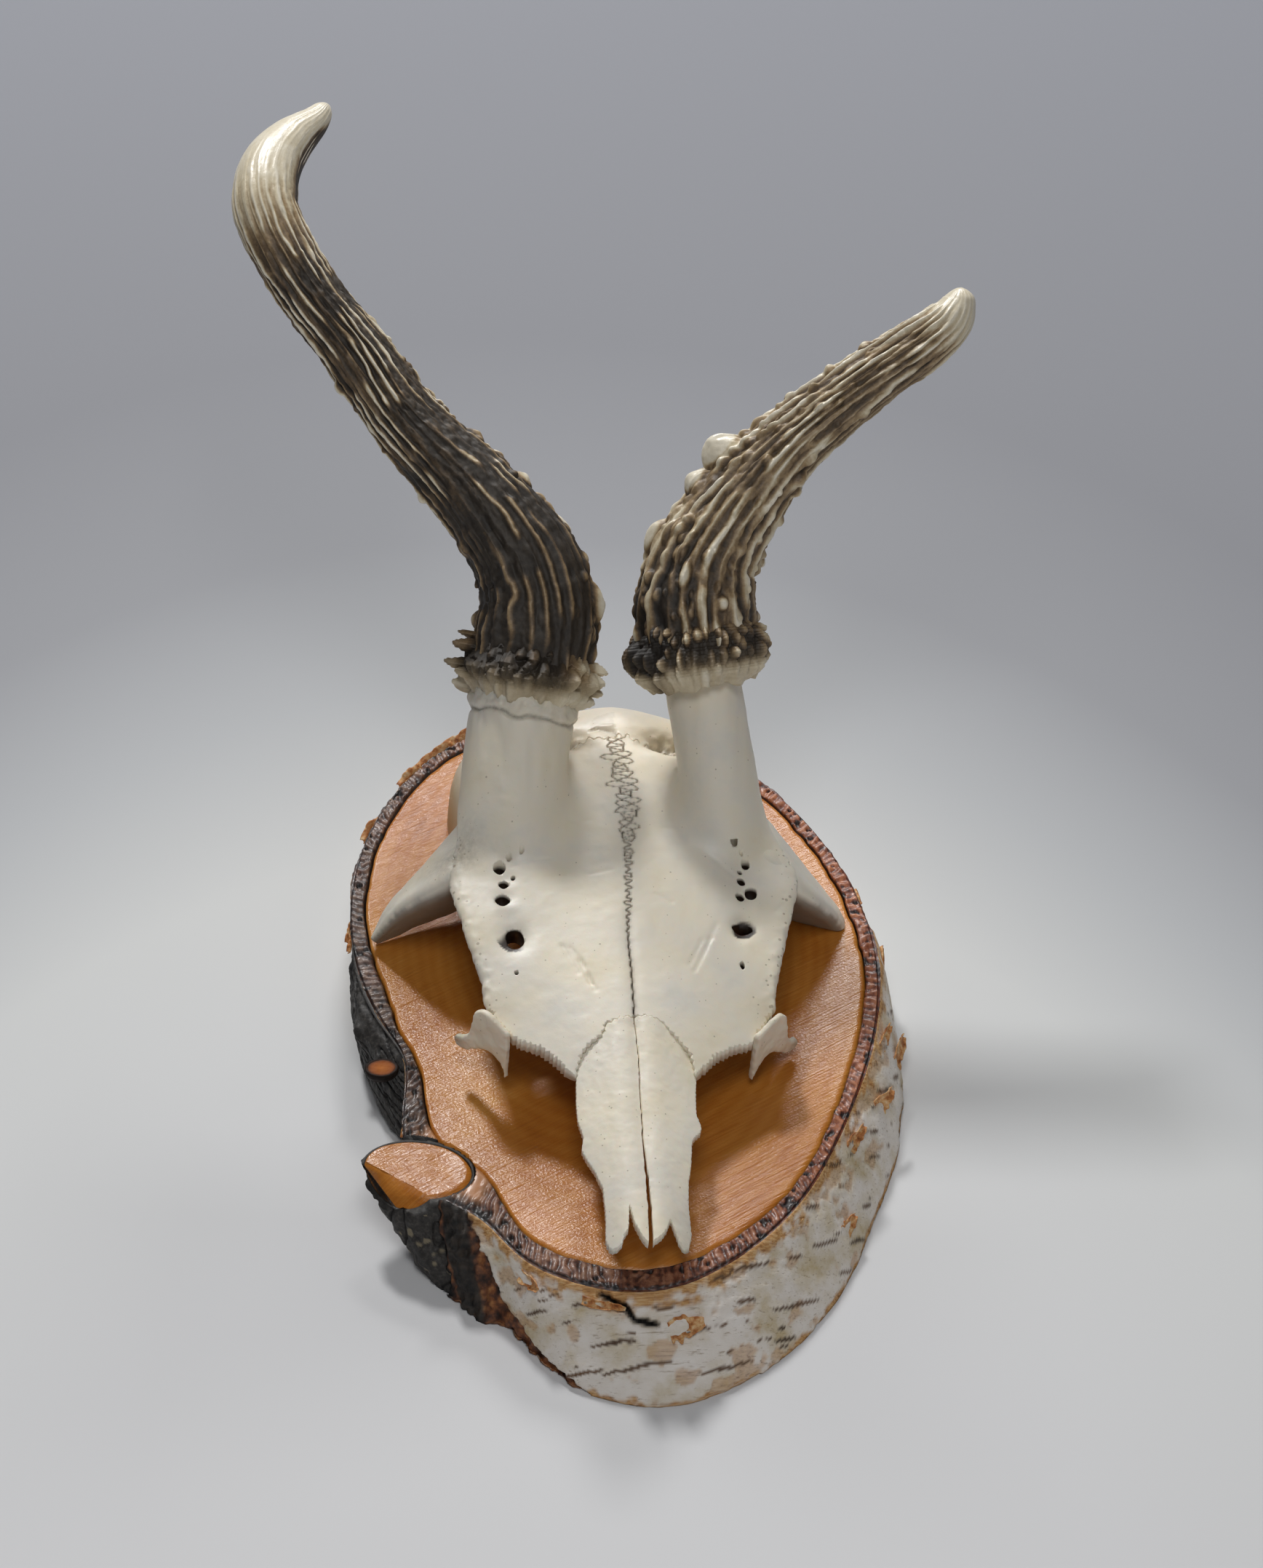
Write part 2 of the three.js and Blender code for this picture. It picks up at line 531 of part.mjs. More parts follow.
// ---------------------------------------------------------------- the whole trophy
const trophy = new THREE.Group();
trophy.add(
  piece('plaque_wood', wood, FINISH.wood),
  piece('plaque_bark', bark, FINISH.bark),
  piece('branch_scar', scar, FINISH.scar),
  piece('branch_stub_wood', stubWood, FINISH.wood),
  piece('branch_stub_bark', stubBark, FINISH.stubBark),
);

const skull = new THREE.Group();
skull.applyMatrix4(skullPlace);
skull.add(
  piece('interorbital_wall', wall, FINISH.bone),
  piece('parietal', parietal, FINISH.bone),
  piece('occipital', occipital, FINISH.bone),
  piece('temporal_left', temporalLeft, FINISH.bone),
  piece('temporal_right', temporalRight, FINISH.bone),
);
for (const [name, antler] of Object.entries(ANTLERS)) {
  skull.add(
    piece(`frontal_${name}`, frontal(antler).subtract(foramen(antler.side)), FINISH.bone),
    piece(`postorbital_arch_${name}`, orbitArch(antler.side), FINISH.bone),
    piece(`nasal_${name}`, nasal(antler.side), FINISH.bone),
    piece(`lacrimal_${name}`, lacrimal(antler.side), FINISH.bone),
    piece(`burr_${name}`, burr(antler), FINISH.burr),
    piece(`antler_${name}`, beam(antler), FINISH.beam),
  );
}
trophy.add(skull);

export default trophy;
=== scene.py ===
import itertools

import bpy
import numpy as np
from mathutils import Matrix, Vector


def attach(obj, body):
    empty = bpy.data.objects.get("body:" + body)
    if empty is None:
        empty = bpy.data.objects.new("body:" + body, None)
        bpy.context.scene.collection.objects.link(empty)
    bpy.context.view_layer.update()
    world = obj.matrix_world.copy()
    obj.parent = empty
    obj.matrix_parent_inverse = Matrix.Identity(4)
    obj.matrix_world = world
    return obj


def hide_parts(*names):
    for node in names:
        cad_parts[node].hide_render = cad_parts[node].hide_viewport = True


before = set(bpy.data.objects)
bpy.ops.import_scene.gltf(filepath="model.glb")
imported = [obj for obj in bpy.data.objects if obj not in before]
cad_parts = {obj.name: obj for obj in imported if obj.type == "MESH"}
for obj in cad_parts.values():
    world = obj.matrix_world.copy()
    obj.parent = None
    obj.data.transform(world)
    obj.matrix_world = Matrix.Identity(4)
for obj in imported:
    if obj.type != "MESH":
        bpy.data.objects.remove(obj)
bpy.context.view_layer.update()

MM = 0.001

# ============================================================ studio
# A seamless paper sweep with a painted pool of light, two softboxes behind the trophy that throw the
# antlers' shadows forwards, one above it, a weak broad fill in front and a camera that looks down at 42
# degrees.


def linear(colour):
    """An sRGB hex colour as the linear colour that Blender's sockets take."""
    parts = [int(colour[i:i + 2], 16) / 255 for i in (1, 3, 5)]
    return [p / 12.92 if p <= 0.04045 else ((p + 0.055) / 1.055) ** 2.4 for p in parts] + [1]


def add(tree, kind, values=(), links=(), stops=None, **settings):
    """Adds one shader node: its settings, the values on its sockets, the links into them, its ramp."""
    made = tree.nodes.new("ShaderNode" + kind)
    for name, value in settings.items():
        setattr(made, name, value)
    for name, value in dict(values).items():
        made.inputs[name].default_value = value
    for name, socket in dict(links).items():
        tree.links.new(socket, made.inputs[name])
    if stops:
        ramp = made.color_ramp.elements
        while len(ramp) < len(stops):
            ramp.new(1)
        for element, (place, colour) in zip(ramp, stops):
            element.position = place
            element.color = linear(colour)
    return made


def finish(name, **sockets):
    """A new material and its shader; what is the same all over is set on the shader's own sockets."""
    made = bpy.data.materials.new(name)
    made.use_nodes = True
    shader = made.node_tree.nodes["Principled BSDF"]
    for socket, value in sockets.items():
        shader.inputs[socket.replace("_", " ")].default_value = value
    return made, made.node_tree, shader


CAMERA_PLACE = Vector((-28.55, -553.8, 560.46)) * MM
CAMERA_TILT = 42  # degrees below level
CAMERA_TURN = 3.5  # degrees round from the plaque's long axis
CAMERA_LENS = 92.6
SENSOR_WIDTH = 36

camera = bpy.data.objects.new("camera", bpy.data.cameras.new("camera"))
camera.data.lens = CAMERA_LENS
camera.data.sensor_width = SENSOR_WIDTH
camera.data.clip_start = 0.01
camera.location = CAMERA_PLACE
camera.rotation_euler = np.radians((90 - CAMERA_TILT, 0, -CAMERA_TURN))
bpy.context.scene.collection.objects.link(camera)
bpy.context.scene.camera = camera

# each light: turn from +Y towards +X and height in degrees, distance and size in metres, power
LIGHTS = {
    "softbox_behind_left": (-14, 44, 1.5, 0.17, 12),
    "softbox_behind_right": (8.5, 33.5, 1.5, 0.28, 7.4),
    "softbox_above": (186, 70, 1.5, 0.6, 5),
    "fill_front": (155, 24, 1.7, 1.0, 2.8),
}
LIGHT_AIM = Vector((0, 0, 0.03))
ROOM_COLOUR, ROOM_LIGHT = "#E4E6EE", 0.09

for name, (turn, height, away, width, power) in LIGHTS.items():
    lamp = bpy.data.objects.new(name, bpy.data.lights.new(name, "AREA"))
    lamp.data.energy = power
    lamp.data.size = width
    turn, height = np.radians((turn, height))
    towards = Vector((np.sin(turn) * np.cos(height), np.cos(turn) * np.cos(height), np.sin(height)))
    lamp.location = LIGHT_AIM + towards * away
    lamp.rotation_euler = towards.to_track_quat("Z", "Y").to_euler()
    bpy.context.scene.collection.objects.link(lamp)

world = bpy.data.worlds.new("studio")
world.use_nodes = True
room = world.node_tree.nodes["Background"].inputs
room["Color"].default_value = linear(ROOM_COLOUR)
room["Strength"].default_value = ROOM_LIGHT
bpy.context.scene.world = world
bpy.context.scene.view_settings.view_transform = "Standard"


def surface(name, points, quads, caps=()):
    """A mesh object from points in mm, four-sided faces and the rings that close its ends."""
    points = np.asarray(points, float) * MM
    loops = [np.asarray(quads).ravel(), *[np.asarray(cap).ravel() for cap in caps]]
    totals = np.array([4] * len(quads) + [len(cap) for cap in caps])
    mesh = bpy.data.meshes.new(name)
    mesh.vertices.add(len(points))
    mesh.vertices.foreach_set("co", points.ravel())
    mesh.loops.add(int(totals.sum()))
    mesh.loops.foreach_set("vertex_index", np.concatenate(loops).astype(np.int32))
    mesh.polygons.add(len(totals))
    mesh.polygons.foreach_set("loop_start", np.concatenate([[0], np.cumsum(totals)[:-1]]))
    mesh.polygons.foreach_set("loop_total", totals)
    mesh.polygons.foreach_set("use_smooth", np.full(len(totals), True))
    mesh.update(calc_edges=True)
    mesh.validate()
    made = bpy.data.objects.new(name, mesh)
    bpy.context.scene.collection.objects.link(made)
    return made


FLOOR_HALF, SWEEP_START, SWEEP_RADIUS, SWEEP_TOP = 3000, 900, 700, 2500
bend = np.radians(np.linspace(0, 90, 25))
profile = [(-FLOOR_HALF, 0), *zip(SWEEP_START + SWEEP_RADIUS * np.sin(bend),
                                  SWEEP_RADIUS * (1 - np.cos(bend))),
           (SWEEP_START + SWEEP_RADIUS, SWEEP_TOP)]
sweep = surface(
    "paper_sweep",
    [(x, y, z) for y, z in profile for x in (-FLOOR_HALF, FLOOR_HALF)],
    [(2 * i, 2 * i + 1, 2 * i + 3, 2 * i + 2) for i in range(len(profile) - 1)],
)
# matt paper with a painted pool of light: pale where the trophy lies, grey-violet all round it
PAINTED_LIGHT_CENTRE, PAINTED_LIGHT_HALF = (-0.02, -0.26), (0.25, 0.42)
paper, tree, shader = finish("matt studio paper with a painted pool of light", Roughness=0.85)
where = add(tree, "TexCoord")
here = {"Vector": where.outputs["Object"]}
painted_light_pool = add(tree, "Mapping", {"Location": PAINTED_LIGHT_CENTRE + (0,), "Scale": PAINTED_LIGHT_HALF + (1,)},
           here, vector_type="TEXTURE")
away = add(tree, "VectorMath", links={0: painted_light_pool.outputs[0]}, operation="LENGTH")
away = add(tree, "Math", {1: 0.5}, {0: away.outputs["Value"]}, operation="MULTIPLY")
tint = add(tree, "ValToRGB", links={"Fac": away.outputs[0]},
           stops=[(0.0, "#E2E2E2"), (0.25, "#DBDBDC"), (0.37, "#D5D6D5"), (0.43, "#B9BBBD"),
                  (0.49, "#9C9DA1"),
                  (0.58, "#8D8E93"), (0.9, "#8A8C93")])
tree.links.new(tint.outputs[0], shader.inputs["Base Color"])
sweep.data.materials.append(paper)

# ============================================================ birch slice: its wood
# An oblique slice of a birch trunk, sawn flat on both faces, sanded a little and varnished: the
# varnish gives the orange wood a wet gloss that breaks up along saw marks and growth rings.
THICK = 14
OVAL_HALF = (52.6, 82.4)
OVAL_CENTRE = (0, 0.8)
OVAL_LEAN = 1.5
BACK_SHIFT = (3.5, -15.5)
BAND = 4.2
# bumps and dents of the outline, and extra depth of bark: centre, width in degrees, size
OVAL_SWELLS = ((75, 32, -0.125), (0, 15, 0.035), (325, 14, -0.022), (272, 12, 0.026), (174, 12, -0.03),
               (202, 8, -0.13), (236, 6, -0.05))
BAND_SWELLS = ((265, 25, 2.3), (186, 9, 4.5), (211, 6, 2.5), (227, 8, 6.5))
SCAR_SEAT = ((190, 10, 4.6),)


def apart(turn, centre):
    """How far one turn lies from another, from -180 to 180 degrees."""
    return (turn - centre + 540) % 360 - 180


def swells(turn, bumps):
    """The sum of bell-shaped bumps round the outline, at turns in degrees."""
    away = [apart(turn, centre) / width for centre, width, _ in bumps]
    return sum(size * np.exp(-a ** 2 / 2) for a, (_, _, size) in zip(away, bumps))


def outline(turn, inset, height):
    """Points in mm on the slice's outline, moved in by inset, at a height over its back."""
    turn, inset, height = np.broadcast_arrays(*np.atleast_1d(turn, inset, height))
    t, lean = np.radians(turn), np.radians(OVAL_LEAN)
    share = 1 + swells(turn, OVAL_SWELLS)
    x, y = OVAL_HALF[0] * share * np.cos(t), OVAL_HALF[1] * share * np.sin(t)
    size, slide = 1 - inset / np.hypot(x, y), 1 - height / THICK
    return np.stack([
        OVAL_CENTRE[0] + size * (x * np.cos(lean) - y * np.sin(lean)) + slide * BACK_SHIFT[0],
        OVAL_CENTRE[1] + size * (x * np.sin(lean) + y * np.cos(lean)) + slide * BACK_SHIFT[1],
        height,
    ], -1)


def noise(points, size, seed=0):
    """Smooth random waves from -1 to 1 at points in mm; size is their spacing, also one per axis."""
    place = np.asarray(points, float) / size + 500
    cell = np.floor(place).astype(np.int64)
    part = place - cell
    part = part ** 3 * (part * (part * 6 - 15) + 10)
    total = 0
    for corner in itertools.product((0, 1), repeat=3):
        key = (cell + corner) @ np.array([374761393, 668265263, 1440662683]) + seed * 1274126177
        key = (key ^ (key >> 13)) * 1274126177
        share = np.prod(np.where(corner, part, 1 - part), axis=-1)
        total = total + share * (((key ^ (key >> 16)) & 0xFFFF) / 32767.5 - 1)
    return total


def rough(points, size, seed=0, octaves=3):
    """Noise with finer and finer waves on it."""
    return sum(noise(points, np.asarray(size) / 2 ** k, seed + k) / 2 ** k for k in range(octaves))


def ease(low, high, value):
    """0 below low, 1 above high and a smooth step between."""
    share = np.clip((np.asarray(value, float) - low) / (high - low), 0, 1)
    return share * share * (3 - 2 * share)


def wrapped(rows, columns):
    """Faces of a tube of rows of points, each row closed round."""
    r, c = np.meshgrid(np.arange(rows - 1), np.arange(columns), indexing="ij")
    n = (c + 1) % columns
    return np.stack([r * columns + c, r * columns + n, (r + 1) * columns + n, (r + 1) * columns + c],
                    -1).reshape(-1, 4)


def tube(name, rings):
    """A closed body lofted through rings of points, with its faces turned outwards."""
    rings = np.asarray(rings, float)
    rows, columns = rings.shape[:2]
    made = surface(name, rings.reshape(-1, 3), wrapped(rows, columns),
                   [np.arange(columns)[::-1], (rows - 1) * columns + np.arange(columns)])
    return outward(made)


def outward(piece):
    """Turns a closed body's faces outwards."""
    mesh = piece.data
    mesh.calc_loop_triangles()
    corners = np.zeros(len(mesh.loop_triangles) * 3, int)
    mesh.loop_triangles.foreach_get("vertices", corners)
    a, b, c = places(piece)[corners.reshape(-1, 3)].transpose(1, 0, 2)
    if np.einsum("ij,ij->i", a, np.cross(b, c)).sum() < 0:
        mesh.flip_normals()
    return piece


def places(piece):
    """A piece's points in mm."""
    found = np.zeros(len(piece.data.vertices) * 3)
    piece.data.vertices.foreach_get("co", found)
    return found.reshape(-1, 3) / MM


def normals(piece):
    """The direction in which each of a piece's points faces."""
    found = np.zeros(len(piece.data.vertices) * 3)
    piece.data.vertex_normals.foreach_get("vector", found)
    return found.reshape(-1, 3)


def move(piece, points):
    """Puts a piece's points at new places in mm."""
    piece.data.vertices.foreach_set("co", (np.asarray(points) * MM).ravel())
    piece.data.update()
    return piece


def raise_by(piece, heights):
    """Moves each point along its normal by a height in mm."""
    return move(piece, places(piece) + normals(piece) * np.asarray(heights)[:, None])


def mark(piece, name, values):
    """Keeps a value for each point, which the piece's material reads."""
    layer = piece.data.attributes.new(name, "FLOAT", "POINT")
    layer.data.foreach_set("value", np.asarray(values, np.float32))


def modify(piece, kind, **settings):
    """Runs one modifier on a piece and keeps its result."""
    modifier = piece.modifiers.new(kind, kind)
    for name, value in settings.items():
        setattr(modifier, name, value)
    graph = bpy.context.evaluated_depsgraph_get()
    result = bpy.data.meshes.new_from_object(piece.evaluated_get(graph))
    piece.modifiers.clear()
    piece.data = result
    return piece


def cut(piece, tool, operation="DIFFERENCE"):
    """Cuts a piece with a closed tool, which is then thrown away."""
    modify(piece, "BOOLEAN", object=tool, operation=operation, solver="MANIFOLD")
    bpy.data.objects.remove(tool)
    return piece


def place(piece, material, slot, *nodes):
    """Gives a piece its material and its place on the frame."""
    piece.data.materials.clear()
    piece.data.materials.append(material)
    piece.data.shade_smooth()
    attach(piece, "root")
    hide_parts(*nodes)
    return piece


STUB_CENTRE = (-37.3, -50.6)
STUB_HALF = (9.9, 6.8)
STUB_TILT = -14
STUB_SHIFT = (11, -13)
STUB_BARK = 1.0


def stub_ring(extra, height, count=160):
    """A ring round the sawn side branch, grown by extra."""
    t = np.linspace(0, 2 * np.pi, count, endpoint=False)
    lean, slide = np.radians(STUB_TILT), 1 - height / THICK
    x, y = (STUB_HALF[0] + extra) * np.cos(t), (STUB_HALF[1] + extra) * np.sin(t)
    return np.stack([STUB_CENTRE[0] + x * np.cos(lean) - y * np.sin(lean) + slide * STUB_SHIFT[0],
                     STUB_CENTRE[1] + x * np.sin(lean) + y * np.cos(lean) + slide * STUB_SHIFT[1],
                     np.full(count, height)], -1)


def stub_space(extra):
    """A tall body that cuts free the place of the side branch."""
    return tube("stub_space", [stub_ring(extra, -2), stub_ring(extra, THICK + 2)])


def wood_edge(turn):
    """How far inside the outline the wood meets the bark, in mm."""
    return BAND + swells(turn, BAND_SWELLS) + 0.25 * noise(outline(turn, 0, 0), 3, 5)


WOOD_COLUMNS = 540
turns = np.arange(WOOD_COLUMNS) * 360 / WOOD_COLUMNS
edge = wood_edge(turns) + 0.15
rings = [outline(turns, edge + 0.5, 0), outline(turns, edge, 0.5), outline(turns, edge, THICK - 0.7),
         outline(turns, edge + 0.1, THICK - 0.25), outline(turns, edge + 0.4, THICK)]
rim, middle = rings[-1], np.array([*OVAL_CENTRE, THICK])
rings += [middle + (rim - middle) * share for share in np.linspace(1, 0.004, 90)[1:]]
slice_wood = tube("slice_wood", rings)
spots = places(slice_wood)
waves = 0.07 * noise(spots, 11, 1) + 0.03 * noise(spots, 3, 2) - 0.3 * ease(3, 0, THICK - spots[:, 2])
spots[:, 2] += np.where(spots[:, 2] > THICK - 0.3, waves + 0.3, 0)
move(slice_wood, spots)
cut(slice_wood, stub_space(STUB_BARK))

# Varnished birch: orange wood under a clear coat, whose wet gloss breaks up on the saw marks.
WOOD_RING = 2.4 * MM
SAW_MARK = (0.45 * MM, 14 * MM)
varnished_birch, tree, shader = finish(
    "varnished birch, sawn across", IOR=1.5, Coat_Weight=0.9, Coat_Roughness=0.2, Coat_IOR=1.45)
shader.inputs["Specular IOR Level"].default_value = 0.12
where = add(tree, "TexCoord")
here = {"Vector": where.outputs["Object"]}
# growth rings: stretched like the oval, so they run parallel to the bark
ovals = add(tree, "Mapping", {"Location": (0.002, -0.006, 0), "Scale": (1, 0.64, 1)}, here)
growth = add(tree, "TexWave", {"Scale": 0.314 / WOOD_RING, "Distortion": 2.2, "Detail": 3,
                               "Detail Scale": 1.4},
             {"Vector": ovals.outputs[0]}, wave_type="RINGS", rings_direction="Z")
years = add(tree, "TexNoise", {"Scale": 60, "Detail": 4}, {"Vector": ovals.outputs[0]})
saw = add(tree, "Mapping", {"Rotation": (0, 0, np.radians(31)), "Scale": (SAW_MARK[1], SAW_MARK[0], 1)},
          here, vector_type="TEXTURE")
marks = add(tree, "TexNoise", {"Scale": 1, "Detail": 3, "Roughness": 0.6}, {"Vector": saw.outputs[0]})
mixed = add(tree, "Math", {1: 0.05}, {0: growth.outputs["Fac"]}, operation="MULTIPLY")
mixed = add(tree, "Math", {1: 0.6}, {0: years.outputs[0], 2: mixed.outputs[0]}, operation="MULTIPLY_ADD")
mixed = add(tree, "Math", {1: 0.28}, {0: marks.outputs[0], 2: mixed.outputs[0]}, operation="MULTIPLY_ADD")
tint = add(tree, "ValToRGB", links={"Fac": mixed.outputs[0]},
           stops=[(0.22, "#8F4E17"), (0.4, "#B46C22"), (0.55, "#C68235"), (0.75, "#DAA155")])
tree.links.new(tint.outputs[0], shader.inputs["Base Color"])
gloss = add(tree, "MapRange", {"From Min": 0.3, "From Max": 0.7, "To Min": 0.36, "To Max": 0.55},
            {"Value": marks.outputs[0]})
tree.links.new(gloss.outputs[0], shader.inputs["Roughness"])
grain = add(tree, "TexNoise", {"Scale": 1 / (0.5 * MM), "Detail": 4}, here)
relief = add(tree, "Math", {1: 0.5}, {0: grain.outputs[0], 2: marks.outputs[0]}, operation="MULTIPLY_ADD")
bump = add(tree, "Bump", {"Strength": 0.7, "Distance": 0.2 * MM}, {"Height": relief.outputs[0]})
tree.links.new(bump.outputs[0], shader.inputs["Normal"])
tree.links.new(bump.outputs[0], shader.inputs["Coat Normal"])
place(slice_wood, varnished_birch, "birch_wood", "plaque_wood")

# ============================================================ birch slice: its bark
# The trunk's bark still sits on the slice. On the sawn face it shows as a dark red-brown corky band
# under varnish; round the side it is thin white paper with brown lenticels, torn off at the lower
# left down to the rusty inner bark.
WALL = ((0, 1.0), (4, 0.4), (10, 0.4), (13.2, 0.8))  # height, inset of the bark's outer wall
BARK_COLUMNS, SIDE_ROWS, BAND_ROWS = 1080, 42, 18
TRUNK_AXIS = np.array([-BACK_SHIFT[0], -BACK_SHIFT[1], THICK]) / np.linalg.norm([*BACK_SHIFT, THICK])
# turn round the slice in degrees, height in mm, length in mm of each large lenticel
LENTICELS = ((253, 2.2, 11), (266, 5.2, 13), (283, 3.2, 11), (292, 12.4, 9), (300, 4.8, 11),
             (310, 7.5, 7), (319.5, 2.4, 6), (262, 7.8, 8), (286, 13, 4), (318, 12.8, 5), (331, 6.2, 4),
             (339.5, 9.2, 4.5), (332.5, 8.5, 3), (296, 2.2, 5), (289.5, 9.2, 4), (309, 12.4, 4),
             (314, 1.6, 4), (274, 12, 4), (347, 6, 4), (355, 9, 4), (6, 5, 5), (20, 8, 6), (45, 6, 7),
             (70, 9, 8), (100, 5, 7), (130, 8, 6), (155, 7, 5), (247, 8, 5), (257, 11.5, 3),
             (279, 8.6, 5), (302, 9.6, 3.5), (325, 3.6, 3.5))
LENTICEL_HALF = 0.45
SMALL_LENTICELS = 120
# ragged edge where the white bark starts at the lower left: height in mm, turn in degrees
TORN_EDGE = ((0, 255), (1.5, 251), (2.5, 246), (4, 241.5), (4.6, 238), (6, 237.5), (10, 235), (14, 233))
COLLAR = (229.5, 3.2)  # a dark fold of bark beside the side branch: turn, width in degrees
RENT = ((261.8, 13.4), (264, 12.6), (266, 12.3), (267.2, 10.9), (271.4, 10.3))  # a split below the nose


def bark_wall(turn, height):
    """The bark's outer surface before its relief."""
    inset = np.interp(height, *np.transpose(WALL)) + swells(turn, SCAR_SEAT)
    return outline(turn, inset, height)


turns = np.arange(BARK_COLUMNS) * 360 / BARK_COLUMNS
edge = wood_edge(turns)
seat = swells(turns, SCAR_SEAT)
heights = np.linspace(0, 13.2, SIDE_ROWS)
rows = [bark_wall(turns, h) for h in heights]
rows += [outline(turns, 0.8 + seat + 0.1, 13.7), outline(turns, 0.8 + seat + 0.25, 13.95)]
starts = 0.8 + seat + 0.5
rows += [outline(turns, starts + (edge - starts) * s, THICK) for s in np.linspace(0, 1, BAND_ROWS)]
rows += [outline(turns, edge, THICK - 0.8), outline(turns, edge, 7), outline(turns, edge, 0)]
rows += [outline(turns, 1.0 + seat + (edge - 1.0 - seat) * s, 0) for s in (0.66, 0.33)]
count = len(rows)
quads = wrapped(count + 1, BARK_COLUMNS) % (count * BARK_COLUMNS)
bark = outward(surface("birch_bark", np.concatenate(rows), quads))

row = np.repeat(np.arange(count), BARK_COLUMNS)
turn = np.tile(turns, count)
spots = places(bark)
side = row < SIDE_ROWS + 2
band = (row >= SIDE_ROWS + 2) & (row < SIDE_ROWS + 2 + BAND_ROWS)
along = spots @ TRUNK_AXIS
lenticels = np.zeros(len(spots))
dice = np.random.default_rng(4)
ranges = ((0, 360), (0.5, 13), (0.8, 2.6))
small = zip(*[dice.uniform(low, high, SMALL_LENTICELS) for low, high in ranges])
for t0, h0, length in (*LENTICELS, *small):
    centre = bark_wall(t0, h0)[0]
    ahead = bark_wall(t0 + 0.5, h0)[0] - bark_wall(t0 - 0.5, h0)[0]
    ahead -= TRUNK_AXIS * (ahead @ TRUNK_AXIS)
    ahead /= np.linalg.norm(ahead)
    near = np.flatnonzero(side & (np.abs(apart(turn, t0)) < 12))
    off = spots[near] - centre
    run, across = off @ ahead, off @ TRUNK_AXIS + 0.25 * noise(spots[near], 1.6, 3)
    half = LENTICEL_HALF * (1 if length > 2.7 else 0.6) * (1 - 0.5 * np.abs(run) / (length / 2 + 0.1))
    shape = ease(1.25, 0.55, np.abs(across) / np.maximum(half, 0.05))
    shape = shape * ease(length / 2 + 0.3, length / 2 - 0.5, np.abs(run))
    lenticels[near] = np.maximum(lenticels[near], shape)
torn = np.interp(spots[:, 2], *np.transpose(TORN_EDGE)) + 1.3 * rough(spots, 1.8, 21)
rust = np.where(side & (turn > 215) & (turn < 262), ease(torn + 0.5, torn - 0.3, turn), 0)
rent = np.zeros(len(spots))
knots = np.concatenate([bark_wall(t, h) for t, h in RENT])
for a, b in zip(knots[:-1], knots[1:]):
    share = np.clip((spots - a) @ (b - a) / ((b - a) @ (b - a)), 0, 1)
    gap = np.linalg.norm(spots - a - share[:, None] * (b - a), axis=1) + 0.25 * noise(spots, 0.9, 31)
    rent = np.maximum(rent, ease(0.8, 0.35, gap))
rent = np.where(side, rent, 0)
# the paper's edge under the band is torn in shreds, so tan inner layers show
shreds = np.where(side, ease(11.6, 13.2, spots[:, 2] + 1.4 * rough(spots, (2.2, 2.2, 1.2), 41)), 0)
foot = np.where(side, ease(1.1, 0.3, spots[:, 2] + 0.7 * rough(spots, 2.4, 43)), 0)
flaking = np.where(side, ease(0.28, 0.5, rough(spots + 50, (5, 5, 3), 47)) * (1 - rust), 0)

stretch = np.stack([spots @ np.array([1, 0, 0]), np.cross(spots, TRUNK_AXIS)[:, 2] * 0.3, along * 2.5], -1)
relief = np.where(side, 0.35 * rough(spots, 14, 51) + 0.09 * rough(stretch, 2.2, 53), 0)
relief += lenticels * 0.16 - rent * 3.2 + shreds * 0.12 * noise(spots, 0.8, 55) - flaking * 0.22
relief += rust * (-0.9 + 0.75 * rough(spots, (2.2, 2.2, 3.4), 57, 4)) - foot * 0.25
# corky cells: short radial blocks along the band, each a little crowned
around = np.cumsum(np.linalg.norm(np.diff(rows[20], axis=0, append=rows[20][:1]), axis=1))
around = np.tile(around, count)
depth = (row - SIDE_ROWS - 2) / (BAND_ROWS - 1)
wander = 1.2 * noise(spots, 2.6, 61)
blocks = np.abs(np.sin(np.pi * (around + wander) / 1.7)) ** 0.7
corky = 0.5 * blocks + 0.16 * rough(spots, 1.3, 63)
corky *= ease(0, 0.12, depth) * ease(1, 0.84, depth)
pits = ease(0.4, 0.62, noise(spots, 1.2, 65))
relief += np.where(band, corky - 0.45 * pits * ease(0.1, 0.3, depth) * ease(0.95, 0.75, depth) - 0.22, 0)
fold = np.where(side, np.exp(-((turn - COLLAR[0] - 0.12 * (spots[:, 2] - 7)) / COLLAR[1]) ** 2), 0)
relief += fold * (1.5 + 0.8 * rough(spots, (1.3, 1.3, 6), 69))
bridge = ease(214, 218, turn) * ease(236, 232, turn) * ease(0.2, 0.45, depth)
relief *= 1 - 0.75 * np.where(band, bridge, 0)
relief = np.where(spots[:, 2] < 0.4, np.minimum(relief, 0), relief)
raise_by(bark, relief)
spots = places(bark)
spots[:, 2] = np.maximum(spots[:, 2], 0)
move(bark, spots)
mark(bark, "lenticel", lenticels)
mark(bark, "rust", rust)
mark(bark, "rent", rent)
mark(bark, "torn", np.maximum(np.maximum(shreds, foot), flaking * 0.55))
mark(bark, "fold", np.maximum(fold, ease(0.3, 0.6, fold)))
mark(bark, "bridge", np.where(band, bridge, 0))
mark(bark, "cork", np.where(band, blocks * 0.6 + 0.4 * noise(spots, 1.0, 67) - pits, 0))
mark(bark, "depth", depth)
mark(bark, "red", 0.5 + 0.5 * np.cos(np.radians(turn - 5)) + 0.25 * noise(spots, 6, 68))
mark(bark, "along", along)

